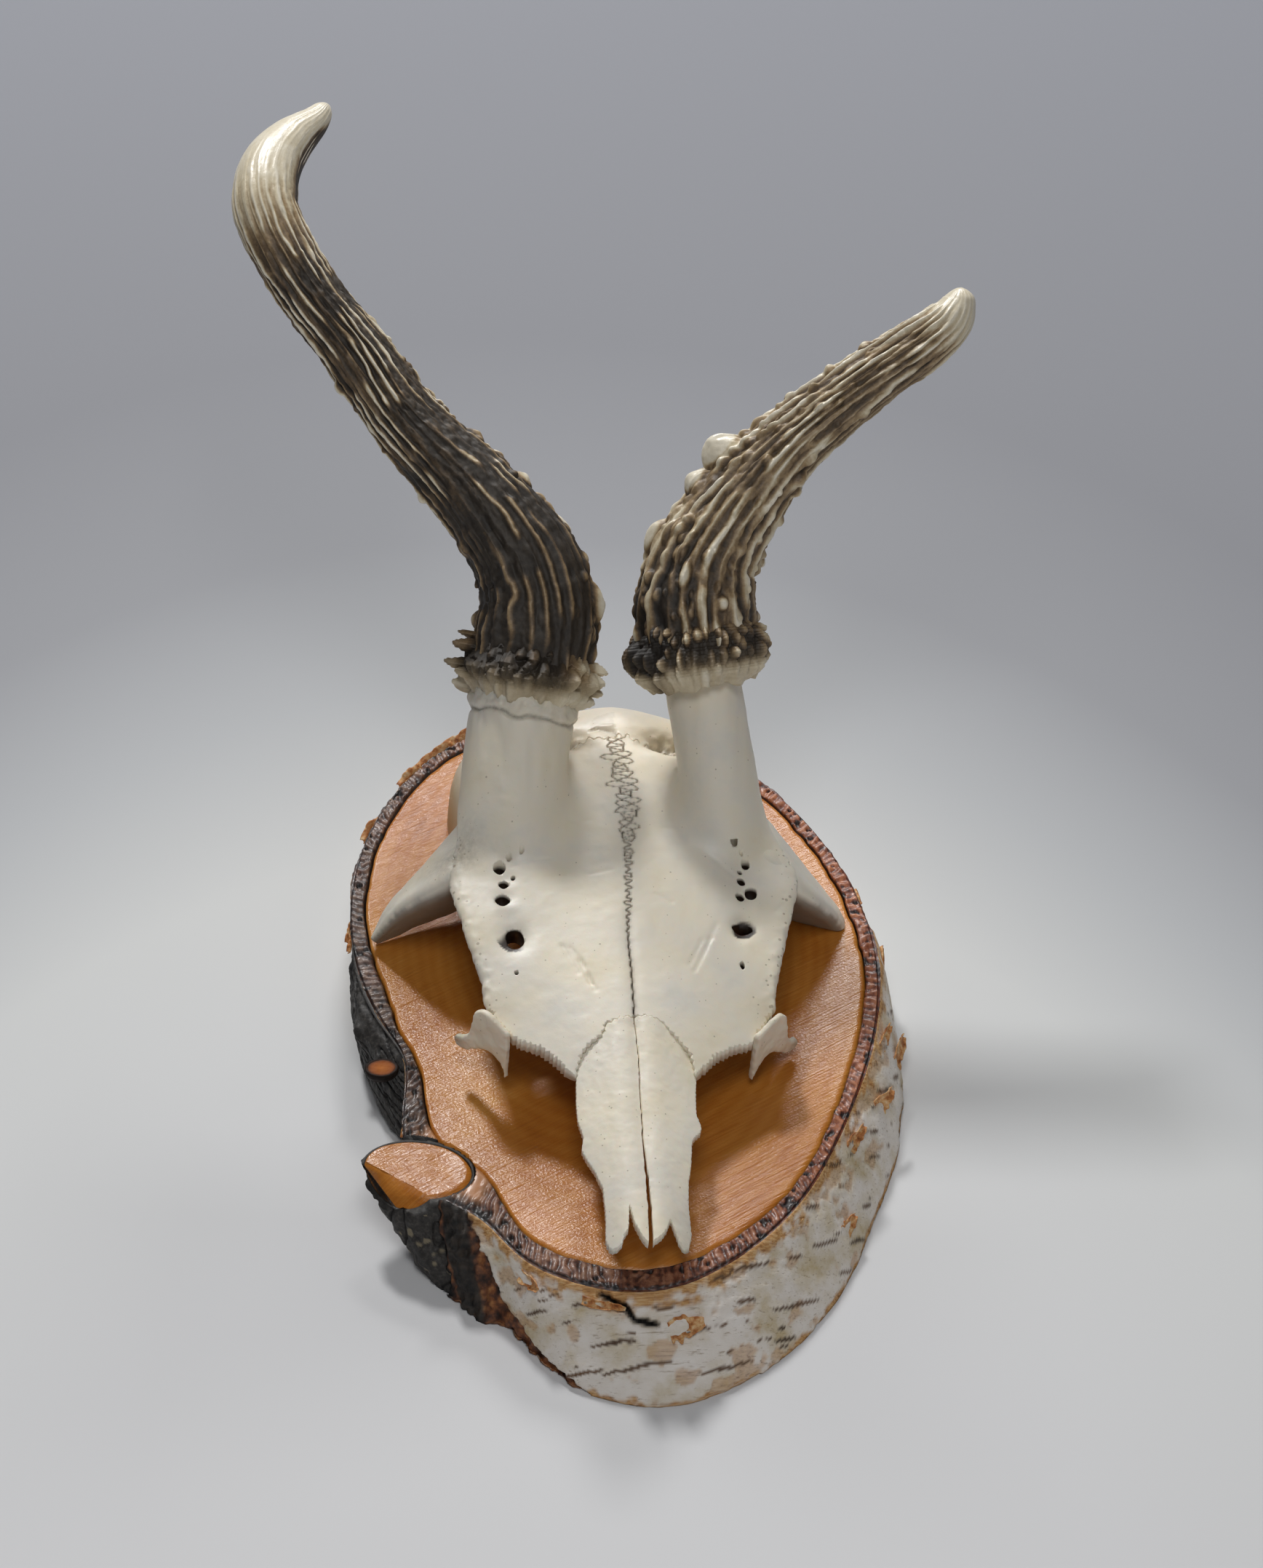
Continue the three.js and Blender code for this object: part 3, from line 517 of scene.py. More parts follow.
# Birch paper: matt chalky white, tan where it is torn, rusty brown where it is gone.
white_birch, tree, shader = finish("birch bark, peeling white paper", IOR=1.45, Roughness=0.62)
where = add(tree, "TexCoord")
here = {"Vector": where.outputs["Object"]}
reads = {name: add(tree, "Attribute", attribute_name=name).outputs["Fac"]
         for name in ("lenticel", "rust", "rent", "torn", "fold")}
patches = add(tree, "TexNoise", {"Scale": 1 / (9 * MM), "Detail": 5, "Roughness": 0.62}, here)
paper_tint = add(tree, "ValToRGB", links={"Fac": patches.outputs[0]},
                 stops=[(0.3, "#C2AE84"), (0.42, "#D9CDB8"), (0.55, "#E8E0D6"), (0.72, "#F0EAE3")])
# fibres of the paper run round the trunk
fibres = add(tree, "Mapping", {"Rotation": (np.radians(-48), 0, 0),
                               "Scale": (1 / (7 * MM), 1 / (0.5 * MM), 1 / (0.5 * MM))},
             here)
streaks = add(tree, "TexNoise", {"Scale": 1, "Detail": 4, "Roughness": 0.65}, {"Vector": fibres.outputs[0]})
streak_ramp = add(tree, "ValToRGB", links={"Fac": streaks.outputs[0]},
                  stops=[(0.3, "#9C8566"), (0.42, "#FFFFFF"), (0.8, "#FFFFFF")])
tinted = add(tree, "Mix", {0: 0.6}, {6: paper_tint.outputs[0], 7: streak_ramp.outputs[0]},
             data_type="RGBA", blend_type="MULTIPLY")
tan = add(tree, "ValToRGB", links={"Fac": streaks.outputs[0]},
          stops=[(0.3, "#8A5A2E"), (0.5, "#C2925A"), (0.75, "#E0C394")])
tinted = add(tree, "Mix", links={0: reads["torn"], 6: tinted.outputs[2], 7: tan.outputs[0]},
             data_type="RGBA")
brown = add(tree, "ValToRGB", links={"Fac": patches.outputs[0]},
            stops=[(0.35, "#3B2A1F"), (0.6, "#6E5138")])
tinted = add(tree, "Mix", links={0: reads["lenticel"], 6: tinted.outputs[2], 7: brown.outputs[0]},
             data_type="RGBA")
crumbs = add(tree, "TexNoise", {"Scale": 1 / (1.6 * MM), "Detail": 5}, here)
rusty = add(tree, "ValToRGB", links={"Fac": crumbs.outputs[0]},
            stops=[(0.32, "#24150E"), (0.47, "#5A3420"), (0.6, "#8C5530"), (0.72, "#B17A47")])
tinted = add(tree, "Mix", links={0: reads["rust"], 6: tinted.outputs[2], 7: rusty.outputs[0]},
             data_type="RGBA")
folded = add(tree, "ValToRGB", links={"Fac": crumbs.outputs[0]},
             stops=[(0.35, "#12100E"), (0.65, "#3A322B")])
tinted = add(tree, "Mix", links={0: reads["fold"], 6: tinted.outputs[2], 7: folded.outputs[0]},
             data_type="RGBA")
dark = add(tree, "Mix", {7: linear("#0E0B09")}, {0: reads["rent"], 6: tinted.outputs[2]}, data_type="RGBA")
tree.links.new(dark.outputs[2], shader.inputs["Base Color"])
bump = add(tree, "Bump", {"Strength": 0.5, "Distance": 0.25 * MM}, {"Height": streaks.outputs[0]})
tree.links.new(bump.outputs[0], shader.inputs["Normal"])

# Inner bark: dark red-brown corky cells, lifted by a thin, uneven coat of varnish.
cork, tree, shader = finish("birch inner bark, varnished", IOR=1.5, Roughness=0.55, Coat_Weight=0.22,
                            Coat_Roughness=0.22)
where = add(tree, "TexCoord")
here = {"Vector": where.outputs["Object"]}
level = add(tree, "Attribute", attribute_name="cork")
depth_read = add(tree, "Attribute", attribute_name="depth")
grit = add(tree, "TexNoise", {"Scale": 1 / (0.8 * MM), "Detail": 5, "Roughness": 0.7}, here)
mixed = add(tree, "Math", {1: 0.55}, {0: level.outputs["Fac"], 2: grit.outputs[0]},
            operation="MULTIPLY_ADD")
tint = add(tree, "ValToRGB", links={"Fac": mixed.outputs[0]},
           stops=[(0.3, "#170E0A"), (0.52, "#32211A"), (0.72, "#4E372B"), (0.95, "#77604F")])
reds = add(tree, "ValToRGB", links={"Fac": mixed.outputs[0]},
           stops=[(0.3, "#24130E"), (0.5, "#53291B"), (0.7, "#8A4A2C"), (0.95, "#B4714A")])
red_side = add(tree, "Attribute", attribute_name="red")
tint = add(tree, "Mix", links={0: red_side.outputs["Fac"], 6: tint.outputs[0], 7: reds.outputs[0]},
           data_type="RGBA")
skin = add(tree, "ValToRGB", links={"Fac": depth_read.outputs["Fac"]},
           stops=[(0.0, "#C79B66"), (0.07, "#5B4236"), (0.16, "#FFFFFF"), (0.9, "#FFFFFF"),
                  (1.0, "#6D5A50")])
mixed = add(tree, "Mix", {0: 1.0}, {6: tint.outputs[2], 7: skin.outputs[0]}, data_type="RGBA",
            blend_type="MULTIPLY")
bridge_read = add(tree, "Attribute", attribute_name="bridge")
mixed = add(tree, "Mix", {7: linear("#B98052")}, {0: bridge_read.outputs["Fac"], 6: mixed.outputs[2]},
            data_type="RGBA")
tree.links.new(mixed.outputs[2], shader.inputs["Base Color"])
bump = add(tree, "Bump", {"Strength": 0.35, "Distance": 0.15 * MM}, {"Height": grit.outputs[0]})
tree.links.new(bump.outputs[0], shader.inputs["Normal"])

corky_rows = (np.arange(count) >= SIDE_ROWS + 1) & (np.arange(count) < count - 3)
zone = np.repeat(corky_rows, BARK_COLUMNS)
place(bark, white_birch, "birch_bark", "plaque_bark")
bark.data.materials.append(cork)
bark.data.polygons.foreach_set("material_index", zone.astype(np.int32))
cut(bark, stub_space(STUB_BARK + 0.1))
spots = places(bark)
found = np.zeros(len(spots))
rent_layer = bark.data.attributes["rent"].data
rent_layer.foreach_get("value", found)
loop = stub_ring(STUB_BARK + 0.1, 0)[:, :2]
slide = (1 - spots[:, 2:] / THICK) * STUB_SHIFT - STUB_SHIFT
close = np.min([np.hypot(*(spots[:, :2] - slide - p).T) for p in loop[::2]], 0)
rent_layer.foreach_set("value", np.maximum(found, ease(0.9, 0.5, close)).astype(np.float32))


def slab(name, upper, lower):
    """A closed plate between two grids of points."""
    rows, columns = upper.shape[:2]
    loops = np.concatenate([upper, lower[:, ::-1]], 1)
    count = 2 * columns
    quads = [wrapped(rows, count)]
    for start, turned in ((0, True), ((rows - 1) * count, False)):
        i = np.arange(columns - 1)
        end = start + np.stack([i, i + 1, count - 2 - i, count - 1 - i], -1)
        quads.append(end[:, ::-1] if turned else end)
    return outward(surface(name, loops.reshape(-1, 3), np.concatenate(quads)))


# loose strips: turn, height, width, length, how far they stand off, roll of the strip
PEELS = ((117, 13.6, 4, 10, 4.4, 0.7), (125, 13.4, 3, 8, 3.6, 1.0), (133, 13.6, 2.6, 6, 3, 0.5),
         (146, 12.6, 3, 6, 2.4, 0.9), (152, 12.2, 1.8, 5, 1.4, 0.4), (164, 9.5, 3.4, 5, 1.5, 0.9),
         (170, 12, 2, 4, 1.4, 0.5), (207, 10, 3, 4, 1.2, 0.6), (212, 5, 3.6, 4.5, 1.4, 0.9),
         (262, 12.2, 1.6, 8, 0.9, 0.2), (277, 9.4, 4.2, 6.5, 1.2, 0.5), (303, 12.6, 1.4, 6, 1.0, 0.3),
         (326, 11.5, 2.4, 6, 1.6, 0.7), (338, 9, 3.2, 5, 2.2, 1.0), (346, 11.8, 2.4, 6, 1.8, 0.6),
         (352, 6, 3.4, 7, 1.8, 0.9), (2, 11, 2, 6, 1.6, 0.6), (12, 12.4, 1.8, 5, 1.3, 0.4),
         (318, 5.4, 2.6, 5, 1.0, 0.4), (247, 11.6, 2.4, 5, 1.2, 0.6))
# Loose layers: dry tan to cream paper that lets a little light through.
peeling, tree, shader = finish("birch bark, loose tan layers", IOR=1.45, Roughness=0.6,
                               Subsurface_Weight=0.1,
                               Subsurface_Scale=1 * MM)
where = add(tree, "TexCoord")
here = {"Vector": where.outputs["Object"]}
layers = add(tree, "TexNoise", {"Scale": 1 / (1.3 * MM), "Detail": 5, "Roughness": 0.65}, here)
tint = add(tree, "ValToRGB", links={"Fac": layers.outputs[0]},
           stops=[(0.3, "#7A4420"), (0.45, "#B9783F"), (0.58, "#D9AE78"), (0.75, "#E6D6B8")])
tree.links.new(tint.outputs[0], shader.inputs["Base Color"])
bump = add(tree, "Bump", {"Strength": 0.5, "Distance": 0.15 * MM}, {"Height": layers.outputs[0]})
tree.links.new(bump.outputs[0], shader.inputs["Normal"])
for number, (at, height, wide, long, off, roll) in enumerate(PEELS):
    start = bark_wall(at, height)[0]
    ahead = bark_wall(at + 0.5, height)[0] - bark_wall(at - 0.5, height)[0]
    ahead /= np.linalg.norm(ahead)
    out = np.cross(ahead, TRUNK_AXIS)
    out /= np.linalg.norm(out)
    up_trunk = np.cross(out, ahead)
    share, across = np.linspace(0, 1, 60)[:, None, None], np.linspace(-1, 1, 28)[None, :, None]
    flat = 0 * share * across
    grid = np.concatenate([share * 9 + flat, across * 1.5 + flat, number + flat], -1)
    ragged = 1 + 0.35 * noise(grid, 1.1, 181)
    curl = roll * np.pi * share
    centre = start - 0.6 * out + ahead * long * (share - 0.5) + out * off * np.sin(curl / 2) ** 1.5
    sheet = centre + up_trunk * (across * wide / 2 * ragged[..., None] * (1 - 0.6 * share ** 3))
    sheet = sheet + out * (0.5 * across ** 2 + 0.25 * noise(sheet, 2.2, 183)[..., None])
    strip = slab(f"birch_peel_{number + 1}", sheet + out * 0.16, sheet - out * 0.16)
    spots = places(strip)
    spots[:, 2] = spots[:, 2].clip(0.2, THICK + 1.5)
    place(move(strip, spots), peeling, "birch_bark")

# ============================================================ side branch and branch scar
# A side branch was sawn off flush with the slice and then pared by a second, slanting cut. Its bark
# is old, black and fissured; a healed scar beside it is a lens of the same black bark with a knot.
# the slanting cuts: corner on the sawn face, heading and slope in degrees
FACET = ((-47, -48), -38, 30)
SMALL_FACET, SMALL_FACET_HALF = ((-47.6, -46.4), -66, 48), 24
levels = [0, 0.6, *np.linspace(2, 13, 8), THICK - 0.3, THICK]
rings = [stub_ring(-0.4 if h in (0, THICK) else 0, h) for h in levels]
rim = rings[-1]
middle = rim.mean(0)
rings += [middle + (rim - middle) * s for s in np.linspace(1, 0.01, 40)[1:]]
stub_wood = tube("branch_wood", rings)
spots = places(stub_wood)
waves = 0.12 * noise(spots, 4, 151) + 0.05 * noise(spots, (6, 1, 1), 153)
spots[:, 2] += np.where(spots[:, 2] > THICK - 0.1, waves, 0)
move(stub_wood, spots)


def slanted(corner, heading, slope, size=30):
    """A block whose sloping underside pares off what lies beyond a corner."""
    made = tube("paring", [[(-size, -20, z), (size, -20, z), (size, 0, z), (-size, 0, z)] for z in (0, 20)])
    turned = Matrix.Rotation(np.radians(heading), 3, "Z") @ Matrix.Rotation(np.radians(slope), 3, "X")
    return move(made, places(made) @ np.array(turned).T + (*corner, THICK))


cut(stub_wood, slanted(*FACET))
cut(stub_wood, slanted(*SMALL_FACET, SMALL_FACET_HALF))
place(stub_wood, varnished_birch, "birch_wood", "branch_stub_wood")

STUB_SIDE_ROWS, STUB_COLUMNS = 60, 640
levels = np.linspace(0, THICK - 0.45, STUB_SIDE_ROWS)
skin = [stub_ring(STUB_BARK - 0.1 if h > 0.5 else STUB_BARK - 0.5, h, STUB_COLUMNS) for h in levels]
lips = [stub_ring(extra, THICK - 0.3, STUB_COLUMNS) for extra in (STUB_BARK - 0.4, 0.5, 0.15)]
inside = [stub_ring(0.12, h, STUB_COLUMNS) for h in (THICK - 1, 5, 0)]
quads = wrapped(len(skin) + 7, STUB_COLUMNS) % ((len(skin) + 6) * STUB_COLUMNS)
stub_bark = outward(surface("branch_bark", np.concatenate(skin + lips + inside), quads))
spots = places(stub_bark)
outer = np.arange(len(spots)) < STUB_SIDE_ROWS * STUB_COLUMNS
slant = spots @ np.array([[1, 0, 0], [0, 1, 0], [0.8, -0.9, 1]]).T
cracks = np.abs(noise(slant, (2.4, 2.4, 9), 155))
relief = 0.5 * rough(spots, 4.5, 157) - 0.55 * ease(0.18, 0, cracks) + 0.14 * rough(spots, 0.9, 159)
relief = np.where(outer, relief, 0)
relief = np.where(spots[:, 2] < 0.6, np.minimum(relief, 0), relief)
raise_by(stub_bark, relief)
mark(stub_bark, "speck", ease(0.55, 0.75, noise(spots, (1.5, 1.5, 1), 161)) * outer)
mark(stub_bark, "crack", ease(0.2, 0, cracks) * outer)
cut(stub_bark, slanted(*FACET))

SCAR_FROM, SCAR_TO, SCAR_THICK = 173, 201, 3.2
SCAR_ROWS, SCAR_SKIN_ROWS = 240, 90
SCAR_BACK = (0.6, 5, 9, 13.2)  # heights of the points that close its inner side
SCAR_COLUMNS = SCAR_SKIN_ROWS + len(SCAR_BACK)
SCAR_SKIN = ((0.3, 0.55), (1.4, 0.8), (5, 0.97), (8, 1), (11.5, 0.9), (13.2, 0.6),
             (13.8, 0.3))  # height, share
rings = []
for share in np.linspace(0, 1, SCAR_ROWS):
    at = SCAR_FROM + (SCAR_TO - SCAR_FROM) * share
    bulge = SCAR_THICK * np.sin(np.pi * share) ** 0.6
    heights = np.linspace(14.1, 0.3, SCAR_SKIN_ROWS)
    inset = swells(at, SCAR_SEAT) + 1.9
    skin = outline(at, inset - 0.2 - (0.9 + bulge) * np.interp(heights, *np.transpose(SCAR_SKIN)), heights)
    rings.append(np.concatenate([outline(at, inset + 0.3, np.array(SCAR_BACK)), skin]))
scar = tube("branch_scar_bark", rings)
spots = places(scar)
outer = np.tile(np.arange(SCAR_COLUMNS) > 5, SCAR_ROWS)
run = np.repeat(np.linspace(0, 40, SCAR_ROWS), SCAR_COLUMNS)
grid = np.stack([run, spots[:, 2] + 0.12 * run, 0 * run], -1)
cracks = np.abs(noise(grid, (11, 1.1, 5), 163) + 0.3 * noise(grid, (3, 0.7, 5), 165))
relief = 0.3 * rough(spots, 4, 167) - 0.5 * ease(0.22, 0, cracks) + 0.1 * rough(spots, 0.8, 169)
relief = np.where(outer, relief, 0)
relief += np.where(outer, 1.3 * np.exp(-((run - 19) / 1.6) ** 2 - ((spots[:, 2] - 11) / 1.5) ** 2), 0)
raise_by(scar, relief)
spots = places(scar)
spots[:, 2] = spots[:, 2].clip(0.1, THICK + 0.15)
move(scar, spots)
mark(scar, "speck", 0 * run)
mark(scar, "crack", ease(0.24, 0, cracks) * outer)
cut(scar, stub_space(STUB_BARK + 0.6))

# Old bark: soot black with a dull sheen, greyer on its ridges, with small pale flecks.
old_bark, tree, shader = finish("old black bark", IOR=1.45, Roughness=0.55)
where = add(tree, "TexCoord")
here = {"Vector": where.outputs["Object"]}
speck = add(tree, "Attribute", attribute_name="speck")
crack = add(tree, "Attribute", attribute_name="crack")
grit = add(tree, "TexNoise", {"Scale": 1 / (0.9 * MM), "Detail": 6, "Roughness": 0.7}, here)
tint = add(tree, "ValToRGB", links={"Fac": grit.outputs[0]},
           stops=[(0.3, "#1B1917"), (0.52, "#33302D"), (0.75, "#5A554F")])
tinted = add(tree, "Mix", {7: linear("#7E745F")}, {0: speck.outputs["Fac"], 6: tint.outputs[0]},
             data_type="RGBA")
tinted = add(tree, "Mix", {7: linear("#0D0B0A")}, {0: crack.outputs["Fac"], 6: tinted.outputs[2]},
             data_type="RGBA")
tree.links.new(tinted.outputs[2], shader.inputs["Base Color"])
bump = add(tree, "Bump", {"Strength": 0.6, "Distance": 0.2 * MM}, {"Height": grit.outputs[0]})
tree.links.new(bump.outputs[0], shader.inputs["Normal"])
place(stub_bark, old_bark, "dark_bark", "branch_stub_bark")
place(scar, old_bark, "dark_bark", "branch_scar")

# the cut knot at the scar's lower end: an orange disc in a dark ring, let into the bark
KNOT_PLACE, KNOT_HALF, KNOT_COLUMNS = (-43.2, -24.8), (3.2, 2.4), 96
t = np.arange(KNOT_COLUMNS) * 2 * np.pi / KNOT_COLUMNS
rings = []
for size, height in ((0.9, 12.5), (1, 13.4), (1, 14.02), (0.96, 14.22), (0.86, 14.26), (0.8, 14.12),
                     *[(0.78 * s, 14.16) for s in np.linspace(1, 0.02, 16)]):
    x, y = KNOT_HALF[0] * size * np.cos(t), KNOT_HALF[1] * size * np.sin(t)
    rings.append(np.column_stack([KNOT_PLACE[0] + x, KNOT_PLACE[1] + y, np.full(KNOT_COLUMNS, height)]))
knot_disc = tube("knot", rings)
away = np.hypot(*((places(knot_disc)[:, :2] - KNOT_PLACE) / KNOT_HALF).T)
raise_by(knot_disc, 0.08 * rough(places(knot_disc), 1.2, 171))
mark(knot_disc, "away", away)
# Knot: dense orange heartwood, darker towards its ring, under the same varnish.
knot_wood, tree, shader = finish("branch knot, varnished", IOR=1.5, Roughness=0.6)
shader.inputs["Specular IOR Level"].default_value = 0.15
away = add(tree, "Attribute", attribute_name="away")
tint = add(tree, "ValToRGB", links={"Fac": away.outputs["Fac"]},
           stops=[(0.0, "#B0651F"), (0.6, "#95501A"), (0.76, "#6E3A16"), (0.84, "#2A1A12"),
                  (1.0, "#1C1410")])
tree.links.new(tint.outputs[0], shader.inputs["Base Color"])
place(knot_disc, knot_wood, "birch_wood")

# ============================================================ skull: roof and braincase
# Bleached bone, boiled clean and dry. Both frontals with their antler stems, the arches behind the
# eyes and the braincase are grown together along toothed sutures; the base is sawn off flat.
SKULL_X, SKULL_ROLL, ROLL_HEIGHT = 4, 4.5, 20
BASE_CLEAR = 0.3
TOOL_FOOT = -60  # how far down the bodies reach that cut the bones
ROOF_MIDDLE = ((-85, 8.6), (-60, 13.2), (-31.5, 18), (-10, 20.6), (12, 23.6), (30, 26.6), (37, 27),
               (44, 25), (51, 20.4), (58, 13.5), (64, 6.5), (68, 0))
ROOF_FALL = ((-45, 8.5), (-33, 5.6), (-22, 3), (-8, 2.2), (10, 3.6), (24, 6), (34, 10), (42, 13))
ROOF_CURVE = ((-42, 1.3), (-25, 1.8), (0, 2.3), (40, 2.2))
FOREHEAD_HALF = ((-45, 27.2), (-28, 27.2), (-22, 27.6), (-14, 29.6), (-6, 31.4), (0, 33), (7, 34),
                 (14, 32.2), (22, 28.5), (30, 26.5), (42, 26))
FOREHEAD_THICK = (5.4, 2.6)
FRONTAL_FRONT = ((0, -31.5), (3, -32.4), (6.5, -35.1), (9.9, -38), (11, -42.4), (14.4, -39.6),
                 (17.5, -36.8), (19.9, -35.4), (22.2, -34), (27.2, -28), (60, -28))
BRAINCASE_HALF = ((-24, 9), (-8, 12), (6, 15), (16, 21), (26, 27.5), (36, 31), (47, 31), (56, 27.5),
                  (63, 21), (67, 14))
# the arch behind each eye: points on its back edge, its rim and its foot, and its half thickness
ORBIT_ARCH = (((26, 25, 20.5), (27, 6.5, 20.2), (27, 18, 0.5), 1.3),
              ((30.4, 20.5, 17.4), (32.6, 3, 18), (30.4, 16, -0.7), 1.2),
              ((35.6, 16, 13), (35.4, 2.8, 15.9), (34.6, 14.4, -1.6), 1.1),
              ((40.3, 13.2, 8), (39.2, 4.8, 11.3), (38.6, 12.6, -2.3), 1.0),
              ((44.1, 11, 4), (42.6, 6.8, 5.6), (42.6, 10.4, -3), 0.8),
              ((46.5, 9.2, -2), (46.3, 8.3, -1.8), (46.1, 8.9, -3.4), 0.6))
BACK_SUTURE = (36.6, 33.5)
OCCIPITAL_SUTURE = 56
SPHENOID = 8
# antlers: root on the roof as centre and half sizes, then the line through stem, burr and beam as
# (across, along, height, half thickness)
ROOTS = {"left": ((-21.8, 15.5), (10.6, 13.5)), "right": ((20.6, 15.8), (9.4, 12.5))}
ANTLER_LINES = {
    "left": ((-18.7, 35, 37.4, 10.2), (-17.6, 39.2, 42.2, 10.6), (-16.6, 43.6, 47.4, 11.4),
             (-16.8, 48.1, 52.4, 10.9), (-19.3, 53.1, 57.5, 10.1), (-28.5, 62.5, 65.2, 8.4),
             (-40.9, 73.5, 72.6, 6.9), (-52.5, 86.1, 81.9, 6.2), (-62.2, 96.4, 89.1, 6.2),
             (-69.3, 108, 96.5, 6.4), (-70, 114.5, 98.8, 6.4), (-68.6, 121.5, 100.3, 5.9),
             (-65.2, 128.2, 101.3, 4.8), (-60.6, 134.6, 102, 3.1), (-57.8, 139.8, 102.8, 1.6)),
    "right": ((15.5, 35.4, 42.2, 7.4), (14.5, 39.4, 47.2, 10), (13.8, 44, 52.4, 11.5),
              (14.2, 47.7, 56.5, 10.8), (15.7, 51.5, 61, 9.9), (22.4, 58.3, 69.5, 8.4),
              (32.5, 65.3, 78.8, 6.7), (44.9, 71.2, 87.3, 5.7), (57.2, 76.2, 94.7, 5.1),
              (61.7, 78.6, 98, 4.5), (63.4, 80.8, 100.6, 3.3), (63.8, 82.4, 103, 1.9)),
}
# holes through the forehead: across, along, half sizes; then the small pits above them
FORAMINA = ((-21.2, -12.3, 1.9, 2.5), (21.8, -9.1, 1.95, 1.35), (-21.2, -20.5, 0.45, 0.5),
            (21.2, -18.2, 0.45, 0.9))
PITS = ((-23.7, 3.8, 1.1), (-23, 0.3, 0.95), (-23.3, -3.4, 1.35), (-22.2, 7.7, 0.65), (-20.9, 11.5, 0.5),
        (-19.5, 6.1, 0.45), (-21.9, 5.4, 0.5), (-21.2, 1.6, 0.5), (-21.8, 9.6, 0.4), (-20.2, 8.6, 0.35),
        (20, 11.6, 0.6), (21.2, 8.6, 0.65), (23.4, 5.7, 0.9), (22.3, 1.9, 0.85), (24, -0.9, 1.35),
        (21.8, -2, 0.85), (22.2, 4, 0.5), (20.6, 10, 0.35), (22.6, 7.3, 0.35))
PIT_DEPTH = 3.2
STEM_HEADING = (1.1, 4.2, 4.8)  # which way the left stem points under its burr
STEM_COLUMNS = 96
# knife scratches and thin vessel grooves: from, to, depth
SCRATCHES = ((-12.5, -15, -9.8, -21.5, 0.26), (-11, -15.5, -8.6, -20, 0.2),
             (-9.4, -18.5, -7.6, -24, 0.28), (-8, -22, -6.8, -25.5, 0.24),
             (15.6, -12.5, 12, -20.5, 0.24), (14, -13, 11.2, -19, 0.18), (17, -9, 15.2, -13, 0.15),
             (-21, 9, -13.5, 13.5, 0.16), (-13.5, 13.5, -6, 15, 0.12), (-21.5, 4, -14, 5.5, 0.12),
             (13.5, 12.2, 8, 13.5, 0.12), (21, 3, 14.5, 8.4, 0.14), (14.5, 8.4, 11, 13, 0.12),
             (-24.5, 16, -17.5, 26, 0.35), (-28, 12, -23, 17.5, 0.3), (-6.5, 2, -2.5, 3.2, 0.12),
             (5.5, -2.5, 8.5, -4.5, 0.12))
# the wavy line where both frontals meet, from the nasals back: along, sideways drift
MIDLINE_DRIFT = ((-32, 0.1), (-21, 0.1), (-13, -0.1), (-4, 0.4), (7, 0.9), (20, 1.3), (27, 0.5), (37, -0.4))
MIDLINE_SWING = ((-33, 0.12), (-12, 0.16), (-7, 0.5), (8, 0.9), (14, 1.9), (24, 2.7), (37, 2.2))
MIDLINE_PITCH = ((-33, 3.4), (-10, 1.7), (10, 1.5), (37, 1.75))
SUTURE_GAP = 0.26
# toothed front edges of the frontals: against the nasals, the broken edge, against the lacrimals
NASAL_SUTURES = {"left": ((0, -31.6), (-2.6, -32), (-5.4, -33), (-5.9, -35.2), (-9.4, -38),
                          (-10.5, -40.4), (-10.9, -43)),
                 "right": ((0, -31.6), (2, -31.5), (5, -32.3), (7.2, -35), (10.3, -38.3), (11.1, -42.5))}
BROKEN_EDGES = {"left": ((-12.5, -41.4), (-14.1, -39.4), (-16.8, -36.3), (-19.5, -35), (-22.1, -33.3)),
                "right": ((12.3, -41.1), (14.6, -38.3), (18.2, -35.6), (22.2, -33.9))}
LACRIMAL_SUTURES = {"left": ((-22.8, -32.1), (-24.7, -30), (-26, -27.4), (-27.3, -26.4)),
                    "right": ((23.2, -31.8), (25, -29.6), (25.6, -27.6), (27.1, -26.2))}


def follow(knots, s):
    """A smooth curve through (position, value) pairs, held level past both ends."""
    at, value = np.transpose(knots)
    slope = np.empty(len(at))
    slope[1:-1] = (value[2:] - value[:-2]) / (at[2:] - at[:-2])
    slope[0] = (value[1] - value[0]) / (at[1] - at[0])
    slope[-1] = (value[-1] - value[-2]) / (at[-1] - at[-2])
    s = np.clip(s, at[0], at[-1])
    i = np.clip(np.searchsorted(at, s) - 1, 0, len(at) - 2)
    span = at[i + 1] - at[i]
    t = (s - at[i]) / span
    level = value[i] + (value[i + 1] - value[i]) * (3 * t * t - 2 * t ** 3)
    return level + slope[i] * span * t * (1 - t) ** 2 - slope[i + 1] * span * t * t * (1 - t)


def roof(x, y):
    """The height of the skull's roof in its own frame."""
    share = np.abs(x) / follow(FOREHEAD_HALF, y)
    return follow(ROOF_MIDDLE, y) - follow(ROOF_FALL, y) * share ** follow(ROOF_CURVE, y)


def seated(piece, back=False):
    """Moves a piece from the skull's own frame to its place on the slice, or back again."""
    lean = Matrix.Translation((SKULL_X, 0, THICK + ROLL_HEIGHT))
    lean = lean @ Matrix.Rotation(np.radians(SKULL_ROLL), 4, "Y")
    lean = lean @ Matrix.Translation((0, 0, -ROLL_HEIGHT))
    lean = np.array(lean.inverted() if back else lean)
    return move(piece, places(piece) @ lean[:3, :3].T + lean[:3, 3])


def prism(name, corners, high=120.0):
    """An upright body over an outline, to cut bones with."""
    corners = np.asarray(corners, float)
    return tube(name, [np.column_stack([corners, np.full(len(corners), z)]) for z in (TOOL_FOOT, high)])


def sawn_off():
    """All that lies below the slice's face, seen from the skull, to saw a bone off level with it."""
    corners = ((-90, -120), (90, -120), (90, 120), (-90, 120))
    return seated(prism("floor", corners, THICK + BASE_CLEAR), back=True)


